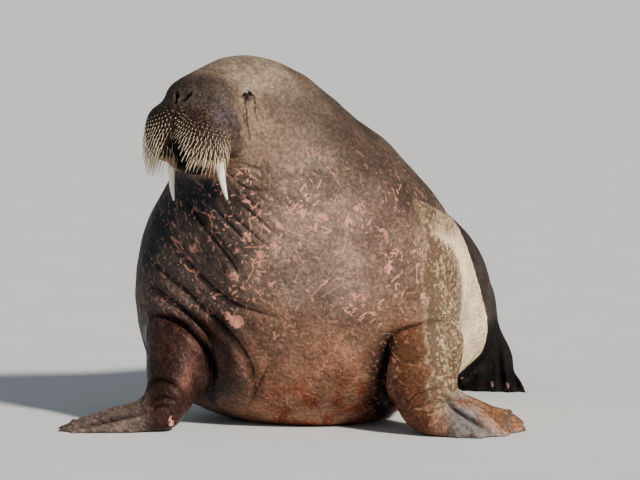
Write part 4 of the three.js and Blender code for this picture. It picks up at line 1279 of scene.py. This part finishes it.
class WALRUS_OT_tusks(bpy.types.Operator):
    """Build the two short tusks"""
    bl_idname = "walrus.tusks"
    bl_label = "Tusks"

    def execute(self, context):
        finish = ivory_finish()
        for side, sign in SIDES.items():
            tusk = ball(f"ivory_tusk_{side}", 28, 40)
            length = TUSK_LENGTHS[side]
            for vertex in tusk.data.vertices:
                along = math.acos(max(-1, min(1, vertex.co.z))) / math.pi
                t = 1 - (1 - along) ** 0.9
                turn = math.atan2(vertex.co.y, vertex.co.x)
                ring = math.sqrt(max(0.0, 1 - t ** 3.2)) * (0.97 - 0.42 * t)
                ring *= 1 + 0.018 * math.sin(5 * turn + 1.0) + 0.012 * math.sin(9 * turn)
                if along < 0.02:
                    ring *= along / 0.02
                radius = sizes().tusk_radius * ring
                vertex.co = from_head((
                    (TUSK_ROOT.x + TUSK_SPLAY * length * t) * sign + math.cos(turn) * radius,
                    TUSK_ROOT.y - TUSK_FORWARD * t + TUSK_CURVE * t * t + math.sin(turn) * radius * 1.12,
                    TUSK_ROOT.z - length * t,
                ))
            edit_all(tusk, bpy.ops.mesh.normals_make_consistent, inside=False)
            smooth_all(tusk)
            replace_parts(dress(tusk, finish), f"tusk_{side}")
        return {"FINISHED"}


def bristle(path, radii, sides):
    """Points and faces of one tapered round bristle along a path."""
    points, faces = [], []
    axis = (path[1] - path[0]).normalized()
    across = axis.cross(Vector((0.31, 0.17, 0.93))).normalized()
    for n, (p, r) in enumerate(zip(path, radii)):
        ahead = (path[min(n + 1, len(path) - 1)] - path[max(n - 1, 0)]).normalized()
        across = (across - ahead * across.dot(ahead)).normalized()
        other = ahead.cross(across)
        for s in range(sides):
            a = 2 * math.pi * s / sides
            points.append(p + across * math.cos(a) * r + other * math.sin(a) * r)
    for n in range(len(path) - 1):
        for s in range(sides):
            t = (s + 1) % sides
            faces.append((n * sides + s, n * sides + t, (n + 1) * sides + t, (n + 1) * sides + s))
    faces.append(tuple(range(sides))[::-1])
    faces.append(tuple((len(path) - 1) * sides + s for s in range(sides)))
    return points, faces


class WALRUS_OT_whiskers(bpy.types.Operator):
    """Build the whiskers of the two muzzle pads"""
    bl_idname = "walrus.whiskers"
    bl_label = "Whiskers"

    def execute(self, context):
        tree = tree_of(bpy.data.objects["walrus_hide"])
        finish = whisker_finish()
        for side, sign in SIDES.items():
            draw = random.Random(WHISKER_SEED + sign)
            points, faces, spots = [], [], []
            rows = sizes().whisker_rows
            for row in range(rows):
                down = row / (rows - 1)
                count = round(WHISKER_MOST - WHISKER_FEWER * abs(down - 0.35))
                for n in range(count):
                    share = (n + 0.25 + 0.5 * (row % 2) + draw.uniform(-0.12, 0.12)) / (count + 0.25)
                    root, normal, uv = self.root(tree, sign, down, share, draw)
                    if root is None:
                        continue
                    path, radii = self.curve(sign, root, normal, down, share, draw)
                    new_points, new_faces = bristle(path, radii, WHISKER_SIDES)
                    faces += [tuple(i + len(points) for i in f) for f in new_faces]
                    spots += [uv] * len(new_points)
                    points += new_points
            mesh = bpy.data.meshes.new(f"whiskers_{side}")
            mesh.from_pydata(points, [], faces)
            self.bake_patches(mesh, spots)
            whiskers = bpy.data.objects.new(f"whiskers_{side}", mesh)
            context.scene.collection.objects.link(whiskers)
            smooth_all(whiskers)
            dress(whiskers, finish)
        return {"FINISHED"}

    @staticmethod
    def root(tree, sign, down, share, draw):
        """A place on a pad, found from outside, with its normal and its place on the pad's unwrap."""
        sweep = math.radians(WHISKER_SWEEP + WHISKER_SPAN * share)
        top = 50 - 46 * share
        bottom = -44 - 4 * share
        lift = math.radians(top + (bottom - top) * down + draw.uniform(-1.2, 1.2))
        way = HEAD_ROTATION @ Vector((math.sin(sweep) * math.cos(lift) * sign,
                                      -math.cos(sweep) * math.cos(lift), math.sin(lift)))
        middle = from_head(pad_middle(sign))
        hit, normal, _, _ = tree.ray_cast(middle + way * 0.19, -way)
        if hit is None or not 0.8 < (hit - middle).length / PAD_RADII.x < 1.35:
            return None, None, None
        local = HEAD_ROTATION.transposed() @ (hit - HEAD_ROW)
        under = max(0.0, (LOWER_LIP_TOP + 0.006 - local.z) / LOWER_LIP_HEIGHT)
        lip = LOWER_LIP_OPENING[sign] * under ** LOWER_LIP_CURVE
        if local.x * sign < (0.010 if sign > 0 else 0.004) + lip:
            return None, None, None
        return hit, normal, (0.05 + 0.9 * share, 0.05 + 0.9 * down)

    @staticmethod
    def curve(sign, root, normal, down, share, draw):
        """A whisker stands forward out of the pad, droops, and curls under at its tip."""
        longest = sizes().whisker_longest * ((0.66 + 0.20 * share) if sign > 0 else 1.05)
        grown = (longest - WHISKER_SHORTEST) * down ** 1.5
        length = WHISKER_SHORTEST + grown * draw.uniform(0.85, 1.08)
        forward = HEAD_ROTATION @ Vector((0, -1, 0))
        out = HEAD_ROTATION @ Vector((sign, 0, 0))
        slant = (1.15 - 1.05 * share) if sign > 0 else 0.32
        hang = Vector((0, 0, -1)) + forward * slant + out * 0.10 * share
        hang = (hang + Vector((draw.uniform(-0.05, 0.05), draw.uniform(-0.05, 0.05), 0))).normalized()
        path = [root - normal * 0.004]
        place = root.copy()
        for n in range(WHISKER_STEPS):
            t = (n + 0.5) / WHISKER_STEPS
            bend = min(1.0, 0.40 + 1.1 * t)
            way = normal * (1 - bend) * 0.8 + hang * bend - Vector((0, 0, 1)) * 0.5 * max(0.0, t - 0.4)
            place = place + way.normalized() * (length / WHISKER_STEPS)
            path.append(place)
        thick = 0.0011 + 0.0008 * down
        radii = [thick * (1 - (n / WHISKER_STEPS) ** 1.8 * 0.80) for n in range(WHISKER_STEPS + 1)]
        return path, radii

    @staticmethod
    def bake_patches(mesh, spots):
        """Each whisker is a small patch at its root's place on the pad's unwrap."""
        layer = mesh.uv_layers.new(name="OFBake")
        rings = WHISKER_STEPS + 1
        for loop in mesh.loops:
            u, v = spots[loop.vertex_index]
            ring, side = divmod(loop.vertex_index % (WHISKER_SIDES * rings), WHISKER_SIDES)
            layer.data[loop.index].uv = (u + BAKE_PATCH * side / WHISKER_SIDES, v + BAKE_PATCH * ring / rings)


class WALRUS_OT_nails(bpy.types.Operator):
    """Build the small nails of the flippers"""
    bl_idname = "walrus.nails"
    bl_label = "Nails"

    def execute(self, context):
        tree = tree_of(bpy.data.objects["walrus_hide"])
        finish = nail_finish()
        for name in FLIPPERS:
            nails = []
            hind = name.startswith("hind")
            for n, (start, end) in enumerate(digit_lines(name)["digit"]):
                hit, normal = drop_onto(tree, start.lerp(end, 0.86 if hind else 0.84))
                if hit is None or hit.z < 0.004:
                    continue
                ahead = (end - start).normalized()
                ahead = (ahead - normal * ahead.dot(normal)).normalized()
                aside = normal.cross(ahead)
                length, width = LARGE_NAIL if hind and n in LARGE_NAIL_DIGITS else SMALL_NAIL
                nail = ball("nail", 16, 12)
                for vertex in nail.data.vertices:
                    x, y, z = vertex.co
                    taper = 1 - 0.45 * max(0.0, x)
                    vertex.co = (hit + normal * (0.001 + 0.0045 * z * taper + 0.0015 * (1 - x * x))
                                 + ahead * length * x + aside * width * y * taper)
                nails.append(nail)
            if not nails:
                continue
            whole = joined(nails, "nails_" + name)
            smooth_all(whole)
            dress(whole, finish)
        return {"FINISHED"}


class WALRUS_OT_stage(bpy.types.Operator):
    """Lay the pale floor and set the camera and the soft lights"""
    bl_idname = "walrus.stage"
    bl_label = "Stage"

    def execute(self, context):
        data = bpy.data.cameras.new("camera")
        data.lens, data.sensor_width = LENS, SENSOR
        data.clip_end = 500
        camera = bpy.data.objects.new("camera", data)
        camera.location = EYE_POINT
        camera.rotation_mode = "QUATERNION"
        camera.rotation_quaternion = LOOK.to_track_quat("-Z", "Y")
        context.scene.collection.objects.link(camera)
        context.scene.camera = camera
        bpy.ops.object.select_all(action="DESELECT")
        bpy.ops.mesh.primitive_grid_add(x_subdivisions=4, y_subdivisions=4, size=400)
        floor = context.object
        floor.name = "floor"
        floor.data.materials.append(floor_finish())
        for name, sun in SUNS.items():
            self.sun(name, *sun)
        world = bpy.data.worlds.new("studio")
        world.use_nodes = True
        background = world.node_tree.nodes["Background"]
        background.inputs["Color"].default_value = opaque(WORLD_COLOUR)
        background.inputs["Strength"].default_value = WORLD_STRENGTH
        context.scene.world = world
        return {"FINISHED"}

    @staticmethod
    def sun(name, towards, strength, softness, colour):
        data = bpy.data.lights.new(name, "SUN")
        data.energy, data.color = strength, colour
        data.angle = math.radians(softness)
        light = bpy.data.objects.new(name, data)
        light.rotation_mode = "QUATERNION"
        light.rotation_quaternion = (-towards).to_track_quat("-Z", "Y")
        bpy.context.scene.collection.objects.link(light)


class WALRUS_PT_panel(bpy.types.Panel):
    """Sizes, colours and steps of the walrus"""
    bl_label = "Walrus"
    bl_idname = "WALRUS_PT_panel"
    bl_space_type = "VIEW_3D"
    bl_region_type = "UI"
    bl_category = "Walrus"

    def draw(self, context):
        for group in (sizes(), colours()):
            for key in group.__annotations__:
                self.layout.prop(group, key)
        for operator in OPERATORS:
            self.layout.operator(operator.bl_idname)


OPERATORS = (
    WALRUS_OT_stage, WALRUS_OT_skin, WALRUS_OT_eyes, WALRUS_OT_tusks, WALRUS_OT_whiskers, WALRUS_OT_nails,
)
CLASSES = (WalrusSizes, WalrusColours, *OPERATORS, WALRUS_PT_panel)


def register():
    for made in CLASSES:
        bpy.utils.register_class(made)
    bpy.types.Scene.walrus_sizes = PointerProperty(type=WalrusSizes)
    bpy.types.Scene.walrus_colours = PointerProperty(type=WalrusColours)


def unregister():
    del bpy.types.Scene.walrus_sizes
    del bpy.types.Scene.walrus_colours
    for made in reversed(CLASSES):
        bpy.utils.unregister_class(made)


def main():
    register()
    bpy.ops.walrus.stage()
    bpy.ops.walrus.skin()
    bpy.ops.walrus.eyes()
    bpy.ops.walrus.tusks()
    bpy.ops.walrus.whiskers()
    bpy.ops.walrus.nails()


if __name__ == "__main__":
    main()
